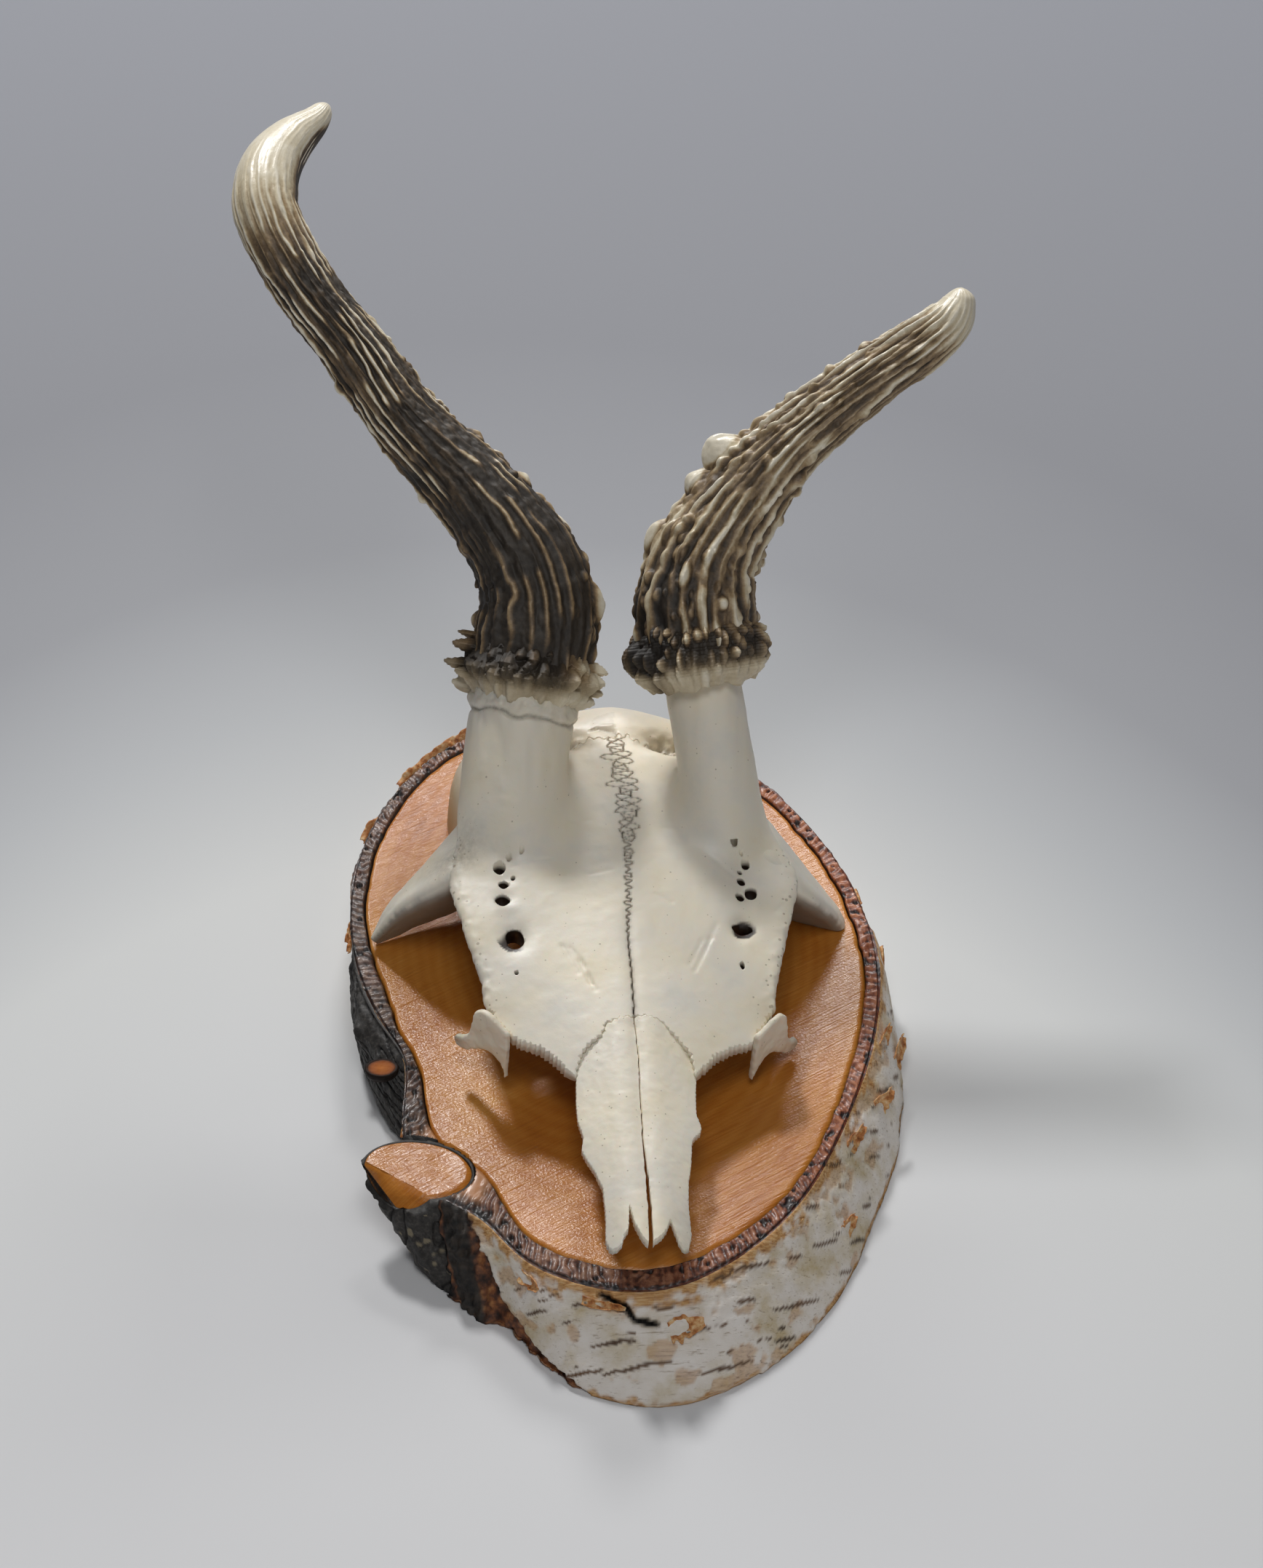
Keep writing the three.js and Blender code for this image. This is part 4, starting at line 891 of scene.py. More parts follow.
def joined(name, parts):
    """One object from several, still separate inside."""
    vertices, loops, totals, start = [], [], [], 0
    for part in parts:
        mesh = part.data
        corner = np.zeros(len(mesh.loops), np.int32)
        mesh.loops.foreach_get("vertex_index", corner)
        total = np.zeros(len(mesh.polygons), np.int32)
        mesh.polygons.foreach_get("loop_total", total)
        vertices.append(places(part))
        loops.append(corner + start)
        totals.append(total)
        start += len(mesh.vertices)
        bpy.data.objects.remove(part)
    loops, totals = np.concatenate(loops), np.concatenate(totals)
    mesh = bpy.data.meshes.new(name)
    mesh.vertices.add(start)
    mesh.vertices.foreach_set("co", (np.concatenate(vertices) * MM).ravel())
    mesh.loops.add(len(loops))
    mesh.loops.foreach_set("vertex_index", loops)
    mesh.polygons.add(len(totals))
    mesh.polygons.foreach_set("loop_start", np.concatenate([[0], np.cumsum(totals)[:-1]]).astype(np.int32))
    mesh.polygons.foreach_set("loop_total", totals)
    mesh.update(calc_edges=True)
    made = bpy.data.objects.new(name, mesh)
    bpy.context.scene.collection.objects.link(made)
    return made


def relaxed(piece, points, turns, mask=None):
    """Points after each has moved halfway to its neighbours' middle, some turns, more where masked."""
    ends = np.zeros(len(piece.data.edges) * 2, int)
    piece.data.edges.foreach_get("vertices", ends)
    a, b = ends.reshape(-1, 2).T
    near = np.maximum(np.bincount(a, minlength=len(points)) + np.bincount(b, minlength=len(points)), 1)
    points = np.array(points, float)
    share = 0.5 if mask is None else 0.5 * np.asarray(mask)
    for _ in range(turns):
        for axis in range(points.shape[1]):
            pull = np.bincount(a, points[b, axis], len(points))
            pull = pull + np.bincount(b, points[a, axis], len(points))
            points[:, axis] += share * (pull / near - points[:, axis])
    return points


def spine(line, rows, columns, radius, start=0.0):
    """Rings along an antler's line; radius(share of the length, degrees, base) gives each point's reach."""
    knots = np.asarray(line)[:, :3]
    steps = np.sqrt(np.linalg.norm(np.diff(knots, axis=0), axis=1))
    at = np.concatenate([[0], np.cumsum(steps)])
    fine = np.linspace(0, at[-1], 1200)
    curve = np.stack([follow(np.column_stack([at, knots[:, k]]), fine) for k in range(3)], -1)
    run = np.concatenate([[0], np.cumsum(np.linalg.norm(np.diff(curve, axis=0), axis=1))])
    run /= run[-1]
    tangent = np.gradient(curve, axis=0)
    tangent /= np.linalg.norm(tangent, axis=1)[:, None]
    thickness = follow(np.column_stack([at, np.asarray(line)[:, 3]]), fine)
    share = start + (1 - start) * np.linspace(0, 1, rows)
    middle = np.stack([np.interp(share, run, curve[:, k]) for k in range(3)], -1)
    along = np.stack([np.interp(share, run, tangent[:, k]) for k in range(3)], -1)
    along /= np.linalg.norm(along, axis=1)[:, None]
    base = np.interp(share, run, thickness)
    across = np.array([1.0, 0, 0]) - along * along[:, :1]
    across /= np.linalg.norm(across, axis=1)[:, None]
    deep = np.cross(along, across)
    turn = np.arange(columns) * 360 / columns
    reach = radius(share[:, None], turn[None], base[:, None])
    t = np.radians(turn)[None, :, None]
    return middle[:, None] + reach[..., None] * (across[:, None] * np.cos(t) + deep[:, None] * np.sin(t))


def stem(side):
    """The bony stem that carries an antler, spread out to a wide root on the roof."""
    (cx, cy), half = ROOTS[side]
    head = spine(ANTLER_LINES[side], 2, STEM_COLUMNS, lambda s, t, r: r + 0 * t)[0]
    top, t = head.mean(0), np.arange(STEM_COLUMNS) * 2 * np.pi / STEM_COLUMNS
    foot = np.stack([cx + half[0] * np.cos(t), cy + half[1] * np.sin(t)], -1)
    foot = np.column_stack([foot, roof(*foot.T) - 1.6])
    middle = np.array([cx, cy, roof(cx, cy) - 1.6])
    rings = []
    for s in np.linspace(0, 1.03, 50):
        out = (foot - middle) + (head - top - foot + middle) * (1 - abs(1 - s) ** 2.4)
        rings.append(middle + (top - middle) * s + out)
    return tube("stem_" + side, rings)


def arch(side):
    """The bent blade of bone behind one eye: a lit outer flange, a rim and an inner wall under it."""
    fine, across = np.linspace(0, len(ORBIT_ARCH) - 1, 150), np.linspace(0, 1, 44)
    rails = []
    for k in range(3):
        axes = [[(i, knot[k][axis]) for i, knot in enumerate(ORBIT_ARCH)] for axis in range(3)]
        rails.append(np.stack([follow(knots, fine) for knots in axes], -1))
    back, rim, foot = [rail[:, None] for rail in rails]
    v = across[None, :, None]
    sheet = np.where(v < 0.45, back + (rim - back) * (v / 0.45), rim + (foot - rim) * ((v - 0.45) / 0.55))
    for _ in range(24):
        sheet[:, 1:-1] += 0.25 * (sheet[:, 2:] + sheet[:, :-2] - 2 * sheet[:, 1:-1])
    lean = np.cross(np.gradient(sheet, axis=0), np.gradient(sheet, axis=1))
    lean /= np.linalg.norm(lean, axis=2)[..., None]
    half = follow([(i, knot[3]) for i, knot in enumerate(ORBIT_ARCH)], fine)[:, None]
    bead = 1 + 0.5 * np.exp(-((across - 0.42) / 0.14) ** 2)
    half = half * np.sqrt(1 - np.abs(2 * across - 1) ** 8) * bead + 0.05
    half = half + 0.1 * rough(sheet, 3, 89)
    loops = np.concatenate([sheet + lean * half[..., None], (sheet - lean * half[..., None])[:, ::-1]], 1)
    return tube("postorbital_arch", loops * (side, 1, 1))


rows, columns = np.linspace(0, 1, 150), np.linspace(-1, 1, 160)
front = np.interp(np.abs(columns) * 27.2, *np.transpose(FRONTAL_FRONT)) - 3.2
along = front + (38 - front) * rows[:, None]
grid = np.stack([along, along * 0, columns * 9 + along * 0], -1)
across = columns * follow(FOREHEAD_HALF, along) * (1 + 0.006 * noise(grid, 2.1, 71))
thick = FOREHEAD_THICK[0] + (FOREHEAD_THICK[1] - FOREHEAD_THICK[0]) * np.abs(columns) ** 1.5
thick = 1.6 + (thick - 1.6) * np.clip(rows[:, None] * 68 / 10, 0, 1)
height = roof(across, along)
upper, lower = [np.stack([across, along, level], -1) for level in (height, height - thick)]
forehead = slab("forehead", upper, lower)

rings = []
for y in np.linspace(-24, 67.3, 78):
    half = follow(BRAINCASE_HALF, y)
    squareness = follow(((8, 0.35), (12, 0.75), (30, 0.7), (42, 0.85)), y)
    t = np.pi * (1 - np.linspace(0, 1, 91))
    x = half * np.sign(np.cos(t)) * np.abs(np.cos(t)) ** follow(((20, 0.85), (40, 1)), y)
    z = (follow(ROOF_MIDDLE, y) - 0.4) * np.sin(t).clip(0) ** squareness
    ring = np.column_stack([x, np.full(91, y), z])
    rings.append(np.concatenate([[[-half, y, -8]], ring, [[half, y, -8]]]))
whole = joined("skull", [forehead, tube("case", rings), stem("left"), stem("right")])
VOXEL = 0.85
modify(whole, "REMESH", mode="VOXEL", voxel_size=VOXEL * MM)
spots = places(whole)
x, y, z = spots.T
blend = np.zeros(len(spots))
for side, ((cx, cy), half) in ROOTS.items():
    ring = np.hypot((x - cx) / half[0], (y - cy) / half[1]) - 1
    blend = np.maximum(blend, np.exp(-(ring / 0.42) ** 2) * ease(12, 4, np.abs(z - roof(x, y) - 1)))
blend = np.maximum(blend, np.exp(-((y - 36) / 3.5) ** 2) * (z < 30))
spots = relaxed(whole, spots, 5)
spots = relaxed(whole, spots, 55, blend)
move(whole, spots)
modify(whole, "SUBSURF", levels=1, render_levels=1)

# relief of the roof: grooves that lead to the holes, a sunken midline, waves and a rough eye rim
spots = places(whole)
x, y, z = spots.T
on_roof = ease(4, 2, np.abs(z - roof(x, y)))
relief = 0.1 * noise(spots, 9, 73) + 0.035 * rough(spots, 1.9, 75)
for side in (-1, 1):
    for cx, cy in ((21.3, -11), (22.2, -7.5), (22.9, -3), (22.8, 1.5), (22.4, 5), (20.8, 10)):
        relief -= 0.42 * np.exp(-((x - side * cx) ** 2 + (y - cy) ** 2) / 3.2) * on_roof
for cx, cy, rx, ry in FORAMINA[:2]:
    relief -= 0.9 * np.exp(-(((x - cx) / (rx + 0.9)) ** 2 + ((y - cy) / (ry + 0.9)) ** 2)) * on_roof
share = np.abs(x) / follow(FOREHEAD_HALF, y)
for x0, y0, x1, y1, deep in SCRATCHES:
    run = np.array([x1 - x0, y1 - y0])
    part = ((x - x0) * run[0] + (y - y0) * run[1]) / (run @ run)
    off = np.hypot(x - x0 - part.clip(0, 1) * run[0], y - y0 - part.clip(0, 1) * run[1])
    relief -= deep * np.exp(-(off / 0.42) ** 2) * on_roof * ease(1.2, 0.6, np.abs(z - roof(x, y)))
rim = ease(0.86, 0.97, share) * ease(-30, -24, y) * ease(14, 8, y) * (np.abs(x) < 36)
relief += rim * (0.16 * rough(spots, 1.5, 77) + 0.1)
# the crown bulges, with a sunken, rough hollow behind each stem
relief += 1.7 * np.exp(-(x / 9) ** 2 - ((y - 46) / 6) ** 2) * (z < 32)
hollows = np.exp(-((np.abs(x + 0.6) - 11) / 5) ** 2 - ((y - 36.5) / 2.6) ** 2) * (z < 31)
relief -= hollows * (3.2 + 0.9 * rough(spots, 1.6, 88))
relief -= 0.22 * np.exp(-((x - follow(MIDLINE_DRIFT, y)) / 1.3) ** 2) * ease(-2, -10, y) * on_roof
stemmed = ease(30, 34, z)
relief += stemmed * 0.16 * noise(spots, (1.6, 5, 7), 79)
# a healed crack rings the left stem just below its burr
crown = np.array(ANTLER_LINES["left"][0][:3])
up = np.array(STEM_HEADING) / np.linalg.norm(STEM_HEADING)
below = (spots - crown) @ up + 3.6 + 0.7 * noise(spots, 3, 81)
ringed = (x < 0) & (z > 26)
relief -= np.where(ringed, 0.5 * np.exp(-(below / 0.35) ** 2), 0)
relief += np.where(ringed, ease(0, 1.5, below) * (0.35 + 0.5 * rough(spots, 2.6, 83)), 0)
raise_by(whole, relief)


def toothed(points, pitch, size, seed):
    """A polyline with random saw teeth."""
    points = np.asarray(points, float)
    run = np.concatenate([[0], np.cumsum(np.linalg.norm(np.diff(points, axis=0), axis=1))])
    count = max(2, int(run[-1] / pitch * 2))
    at = np.linspace(0, run[-1], count + 1)
    path = np.stack([np.interp(at, run, points[:, k]) for k in (0, 1)], -1)
    ahead = np.gradient(path, axis=0)
    out = np.stack([-ahead[:, 1], ahead[:, 0]], -1) / np.linalg.norm(ahead, axis=1)[:, None]
    dice = np.random.default_rng(seed)
    swing = size * np.where(np.arange(count + 1) % 2, 1, -1) * dice.uniform(0.25, 1, count + 1)
    swing[[0, -1]] = 0
    path[1:-1] += ahead[1:-1] * dice.uniform(-0.25, 0.25, (count - 1, 1))
    return path + out * swing[:, None]


# the midline suture: nearly straight at the nose, then ever wider folds towards the crown
y, phase, line = -33.0, 0.0, []
while y < 38:
    swing = follow(MIDLINE_SWING, y) * (0.75 + 0.4 * np.sin(phase * 0.37) * np.cos(phase * 0.113))
    fold = swing * (np.sin(phase) + 0.22 * np.sin(2.7 * phase + 1))
    lap = -0.3 * follow(MIDLINE_PITCH, y) * np.sin(2 * phase) * ease(0.3, 1.0, swing)
    line.append((follow(MIDLINE_DRIFT, y) + fold, y + lap))
    phase += 0.21
    y += 0.21 / (2 * np.pi) * follow(MIDLINE_PITCH, y)
line = np.array(line)
ahead = np.gradient(line, axis=0)
sideways = np.stack([ahead[:, 1], -ahead[:, 0]], -1) / np.linalg.norm(ahead, axis=1)[:, None]
sideways = sideways * SUTURE_GAP / 2


def halved(side):
    """Everything on one side of the midline suture."""
    edge = line + side * sideways
    far = side * 90
    corners = [[(far, -70), (edge[0, 0], -70)], edge, [(edge[-1, 0], 60), (far, 60)]]
    return prism("half", np.concatenate(corners))


def behind(gap):
    """What lies behind the crossing suture, but below the overhanging stems."""
    x = np.linspace(-45, 45, 300)
    start = BACK_SUTURE[0] + (BACK_SUTURE[1] - BACK_SUTURE[0]) * np.minimum(np.abs(x) / 27, 1) + gap
    swing = 0.6 + 0.5 * noise(np.stack([x, x * 0, x * 0], -1), 3, 85)
    start += 0.9 * np.sin(x * 3.3) * swing + 0.5 * np.sin(x * 0.9)
    y = start + (90 - start) * np.linspace(0, 1, 40)[:, None] ** 2
    top = follow(ROOF_MIDDLE, y) + 2.5
    return slab("behind", np.stack([x + 0 * y, y, top], -1), np.stack([x + 0 * y, y, top * 0 - 60], -1))


def beside(side, gap):
    """The lower side wall of the braincase, below a wavy scale-shaped suture."""
    y = np.linspace(SPHENOID, 90, 200)[:, None]
    x = np.array([21 + gap, 70])[None] + 0 * y
    scales = 0.5 * np.sin(y * 1.3) * noise(np.stack([y, y, y], -1), 4, 87)
    top = 13 - gap + scales + 2 * np.sin((y - SPHENOID) / 48 * np.pi) - 1 + 0 * x
    made = slab("beside", np.stack([x, y + 0 * x, top], -1), np.stack([x, y + 0 * x, top * 0 - 60], -1))
    lean = np.array(Matrix.Rotation(np.radians(-12), 3, "Y"))
    return outward(move(made, places(made) @ lean.T * (side, 1, 1)))


def copied(piece, name):
    """A second piece with the same mesh, to be cut to another bone."""
    made = bpy.data.objects.new(name, piece.data.copy())
    bpy.context.scene.collection.objects.link(made)
    return made


# holes right through the forehead and small blind pits above them
tools = []
t = np.arange(20) * 2 * np.pi / 20
for cx, cy, rx, ry in (*FORAMINA, *[(px, py, r, r * 1.1) for px, py, r in PITS]):
    deep = 12 if ry > 1.2 and (cx, cy, rx, ry) in FORAMINA else PIT_DEPTH
    top = roof(cx, cy)
    tools.append(tube("hole", [np.column_stack([
        cx + rx * s * np.cos(t) * (1 + 0.12 * np.sin(2 * t + cx)),
        cy + drift + ry * s * np.sin(t), np.full(20, top + h)])
        for h, s, drift in ((3, 1.08, 0.6), (0, 1, 0), (-0.95, 0.98, -0.1), (-deep, 0.8, -deep * 0.2))]))
cut(whole, joined("holes", tools))
cut(whole, sawn_off())

bones = {}
half_gap = SUTURE_GAP / 2
for side, name in ((-1, "left"), (1, "right")):
    bones["temporal_" + name] = cut(copied(whole, "temporal_" + name), beside(side, half_gap), "INTERSECT")
    cut(whole, beside(side, -half_gap))
bones["parietal"] = cut(copied(whole, "parietal"), behind(half_gap), "INTERSECT")
cut(whole, behind(-half_gap))
x, z = np.meshgrid(np.linspace(-50, 50, 120), (-60, 60))
for gap, operation in ((half_gap, "INTERSECT"), (-half_gap, "DIFFERENCE")):
    y = OCCIPITAL_SUTURE + gap + 0.14 * z + 0.6 * np.sin(x * 1.7) * np.cos(x * 0.31)
    tool = slab("rear", np.stack([x, y, z], -1), np.stack([x, y * 0 + 120, z], -1))
    if operation == "INTERSECT":
        bones["occipital"] = cut(copied(bones["parietal"], "occipital"), tool, operation)
    else:
        cut(bones["parietal"], tool)
x, y = np.meshgrid(np.linspace(-17, 17, 40), np.linspace(-30, SPHENOID, 40))
for gap, operation in ((0.1, "INTERSECT"), (0, "DIFFERENCE")):
    under = roof(x, y) - 6.1 - gap
    tool = slab("under", np.stack([x, y, under], -1), np.stack([x, y, under * 0 - 60], -1))
    if operation == "INTERSECT":
        bones["interorbital_wall"] = cut(copied(whole, "interorbital_wall"), tool, operation)
    else:
        cut(whole, tool)
teeth = {}
for seed, (side, name) in enumerate(((-1, "left"), (1, "right"))):
    teeth[name] = toothed(NASAL_SUTURES[name], 1.25, 0.32, 91 + seed)
    edge = np.concatenate([teeth[name], toothed(BROKEN_EDGES[name], 1.0, 0.34, 93 + seed),
                           toothed(LACRIMAL_SUTURES[name], 1.15, 0.4, 95 + seed), [(side * 90, -26.2)]])
    around = [(side * 90, -90), (-side * 0.5, -90), (-side * 0.5, -31.6 + half_gap)]
    ahead = prism("ahead", np.concatenate([edge + (0, half_gap), around]))
    frontal = cut(copied(whole, "frontal_" + name), halved(side), "INTERSECT")
    cut(frontal, ahead)
    bones["postorbital_arch_" + name] = arch(side)
    bones["frontal_" + name] = frontal
bpy.data.objects.remove(whole)

# ============================================================ skull: nasals
# Two long bony roof tiles side by side over the nose, each with a forked front end. They meet in
# a fine seam that opens to a cleft between their tips, and they hook into the frontals behind.
NASAL_HALF = ((-82, 5.9), (-74, 7.4), (-66, 9.2), (-55, 11.2), (-43, 11), (-30, 10.8))
NASAL_FALL = 3.2
NASAL_THICK = (2, 1.2)
NASAL_SEAM = ((-80, 0.8), (-71, 0.9), (-63.6, 0.6), (-57.5, 0.4), (-48, 0.3), (-42, 0.4), (-31, 0))
NASAL_CLEFT = ((-80, 0.42), (-66, 0.3), (-56, 0.12), (-31, 0.1))
NASAL_EDGES = {
    "left": ((-10.9, -43.2), (-11.1, -48), (-11, -52.1), (-10.7, -53.4), (-10.1, -55.8), (-10.5, -58.3),
             (-9.9, -60), (-8.3, -63.5), (-7.1, -67), (-6.8, -71.9), (-6.9, -76.9), (-6.2, -78.8),
             (-5.2, -79.4), (-4.3, -78.9), (-3.9, -77.5), (-3.1, -76.4), (-2.7, -71.7), (-1.9, -75.6),
             (-0.9, -77.8), (-0.1, -79)),
    "right": ((11.1, -43.2), (10.8, -47), (10.7, -50.8), (11.5, -53.1), (11.2, -54.4), (10.2, -55.6),
              (9.5, -57), (9.1, -61.5), (8.4, -65.6), (8.2, -69.8), (8.6, -74.7), (8, -77.3), (7, -78.1),
              (6.1, -77.4), (4.6, -73.9), (3.7, -76.4), (2.6, -78.1), (1.7, -78.6)),
}
along = np.linspace(-29, -83, 220)[:, None]
for seed, (side, name) in enumerate(((-1, "left"), (1, "right"))):
    across = np.linspace(-1.5, 13.5, 64)[None] + 0 * along
    y = along + 0 * across
    fall = NASAL_FALL * (across / follow(NASAL_HALF, y)) ** 2
    top = follow(ROOF_MIDDLE, y) - fall
    # each tile has its own soft crest beside the sunken seam
    sunk = (across - side * follow(NASAL_SEAM, y)) / 1.1
    top += 0.35 * np.exp(-((across - 3.2) / 2.4) ** 2) - 0.3 * np.exp(-sunk ** 2)
    thick = NASAL_THICK[0] + (NASAL_THICK[1] - NASAL_THICK[0]) * (across / 11).clip(0, 1)
    upper, lower = [np.stack([side * across, y, level], -1) for level in (top, top - thick)]
    tile = slab("nasal_" + name, upper, lower)
    spots = places(tile)
    raise_by(tile, 0.07 * noise(spots, 7, 101) + 0.04 * rough(spots, 1.4, 103))
    seam_y = np.linspace(-79.2, -32, 120)
    seam = np.column_stack([follow(NASAL_SEAM, seam_y) + 0.12 * noise(np.stack([seam_y] * 3, -1), 1.5, 105)
                            + side * follow(NASAL_CLEFT, seam_y), seam_y])
    edge = toothed(NASAL_EDGES[name], 0.9, 0.1, 107 + seed)
    outline_points = np.concatenate([teeth[name][1:] - (0, half_gap), edge[1:], seam])
    cut(tile, prism("tile", outline_points), "INTERSECT")
    bones["nasal_" + name] = tile

# ============================================================ skull: lacrimals
# What the saw left of the lacrimals: thin upright plates with a hooked lower edge, which hang by a
# toothed suture under the forehead's front corners.
LACRIMAL_TIP, LACRIMAL_TOWARDS = (22.5, -33.2), (30.7, -25.6)
LACRIMAL_OUTLINE = ((0, 3.4), (0.7, 5.2), (1.6, 6.6), (3.2, 7.6), (4.6, 7.7), (6.2, 7), (7.6, 5.8),
                    (9.2, 4.4), (10.6, 3.7), (12.0, 3.9), (12.7, 5), (12.3, 6.2), (11.3, 6.4),
                    (10.4, 6.9), (9.5, 8.2), (8.9, 10.4), (8.4, 12.6), (8, 15), (6.8, 16.3), (4.6, 16.1),
                    (2, 15.2), (0.2, 14.4), (0, 10.5), (0.1, 7))
LACRIMAL_HALF = 0.6
TEAR_PIT, TEAR_PIT_HALF, TEAR_PIT_ENDS = (27.8, -27.2), 0.8, (7.2, 12)
path = np.array(LACRIMAL_OUTLINE)
for side, name in ((-1, "left"), (1, "right")):
    start, end = np.array(LACRIMAL_TIP), np.array(LACRIMAL_TOWARDS)
    ahead = (end - start) / np.linalg.norm(end - start)
    out = np.array([ahead[1], -ahead[0]])
    rings = []
    for lift in (-LACRIMAL_HALF, LACRIMAL_HALF):
        flat = start + path[:, :1] * ahead + out * (lift + 0.4)
        rings.append(np.column_stack([flat * (side, 1), path[:, 1]]))
    plate = tube("lacrimal_" + name, rings)
    modify(plate, "REMESH", mode="VOXEL", voxel_size=0.26 * MM)
    spots = relaxed(plate, places(plate), 5)
    move(plate, spots)
    raise_by(plate, 0.16 * rough(spots, 2.4, 111) + 0.1)
    x, y = TEAR_PIT[0] * side + TEAR_PIT_HALF * np.cos(t), TEAR_PIT[1] + TEAR_PIT_HALF * np.sin(t)
    cut(plate, tube("pit", [np.column_stack([x, y, np.full(len(t), z)]) for z in TEAR_PIT_ENDS]))
    bones["lacrimal_" + name] = plate
for name, piece in bones.items():
    if name.startswith(("lacrimal", "postorbital")):
        cut(piece, sawn_off())

# Bone: matt, a little waxy, ivory with greyer and yellower clouds and fine dark pores, more of
# them towards its rims, with painted shade in its pits, holes and hollows and on the arches' inner walls.
bone, tree, shader = finish("bleached bone with painted shade", IOR=1.55, Subsurface_Weight=0.12, Subsurface_Scale=1.5 * MM)
where = add(tree, "TexCoord")
here = {"Vector": where.outputs["Object"]}
stain = add(tree, "Attribute", attribute_name="stain")
rim_read = add(tree, "Attribute", attribute_name="rim")
clouds = add(tree, "TexNoise", {"Scale": 1 / (16 * MM), "Detail": 5, "Roughness": 0.6}, here)
tint = add(tree, "ValToRGB", links={"Fac": clouds.outputs[0]},
           stops=[(0.3, "#E3DFD4"), (0.45, "#EEE6D5"), (0.6, "#F0E6CF"), (0.78, "#E6D8B8")])
pores = add(tree, "TexVoronoi", {"Scale": 1 / (1.5 * MM), "Randomness": 1.0}, here)
speck = add(tree, "TexNoise", {"Scale": 1 / (4 * MM), "Detail": 2}, here)
reach = add(tree, "MapRange", {"From Min": 0.42, "From Max": 0.72, "To Min": 0.02, "To Max": 0.13},
            {"Value": speck.outputs[0]})
reach = add(tree, "Math", {1: 0.16}, {0: rim_read.outputs["Fac"], 2: reach.outputs[0]},
            operation="MULTIPLY_ADD")
dots = add(tree, "Math", links={0: pores.outputs["Distance"], 1: reach.outputs[0]}, operation="LESS_THAN")
veins = add(tree, "TexNoise", {"Scale": 1 / (1.1 * MM), "Detail": 5, "Roughness": 0.7}, here)
dirt = add(tree, "Math", {1: 1.15}, {0: stain.outputs["Fac"]}, operation="MULTIPLY")
dirt = add(tree, "Math", links={0: dirt.outputs[0], 1: veins.outputs[0]}, operation="MULTIPLY",
           use_clamp=True)
tinted = add(tree, "Mix", {7: linear("#6F6656")}, {0: dirt.outputs[0], 6: tint.outputs[0]},
             data_type="RGBA")
dotted = add(tree, "Math", {1: 0.55}, {0: dots.outputs[0]}, operation="MULTIPLY")
tinted = add(tree, "Mix", {7: linear("#8F8068")}, {0: dotted.outputs[0], 6: tinted.outputs[2]},
             data_type="RGBA")
aged = add(tree, "Attribute", attribute_name="aged")
tinted = add(tree, "Mix", {7: linear("#C9AE7C")}, {0: aged.outputs["Fac"], 6: tinted.outputs[2]},
             data_type="RGBA")
# painted shade: the 'deep' mark turns pits, holes, hollows and the arches' inner walls near black-brown;
# along the midline suture it is dark dirt
painted_shade_and_suture = add(tree, "Attribute", attribute_name="deep")
tinted = add(tree, "Mix", {7: linear("#2A1D12")}, {0: painted_shade_and_suture.outputs["Fac"], 6: tinted.outputs[2]},
             data_type="RGBA")
tree.links.new(tinted.outputs[2], shader.inputs["Base Color"])
gloss = add(tree, "MapRange", {"From Min": 0.35, "From Max": 0.7, "To Min": 0.38, "To Max": 0.56},
            {"Value": clouds.outputs[0]})
tree.links.new(gloss.outputs[0], shader.inputs["Roughness"])
skin = add(tree, "Math", {1: -0.6}, {0: dots.outputs[0], 2: veins.outputs[0]}, operation="MULTIPLY_ADD")
bump = add(tree, "Bump", {"Strength": 0.35, "Distance": 0.09 * MM}, {"Height": skin.outputs[0]})
tree.links.new(bump.outputs[0], shader.inputs["Normal"])

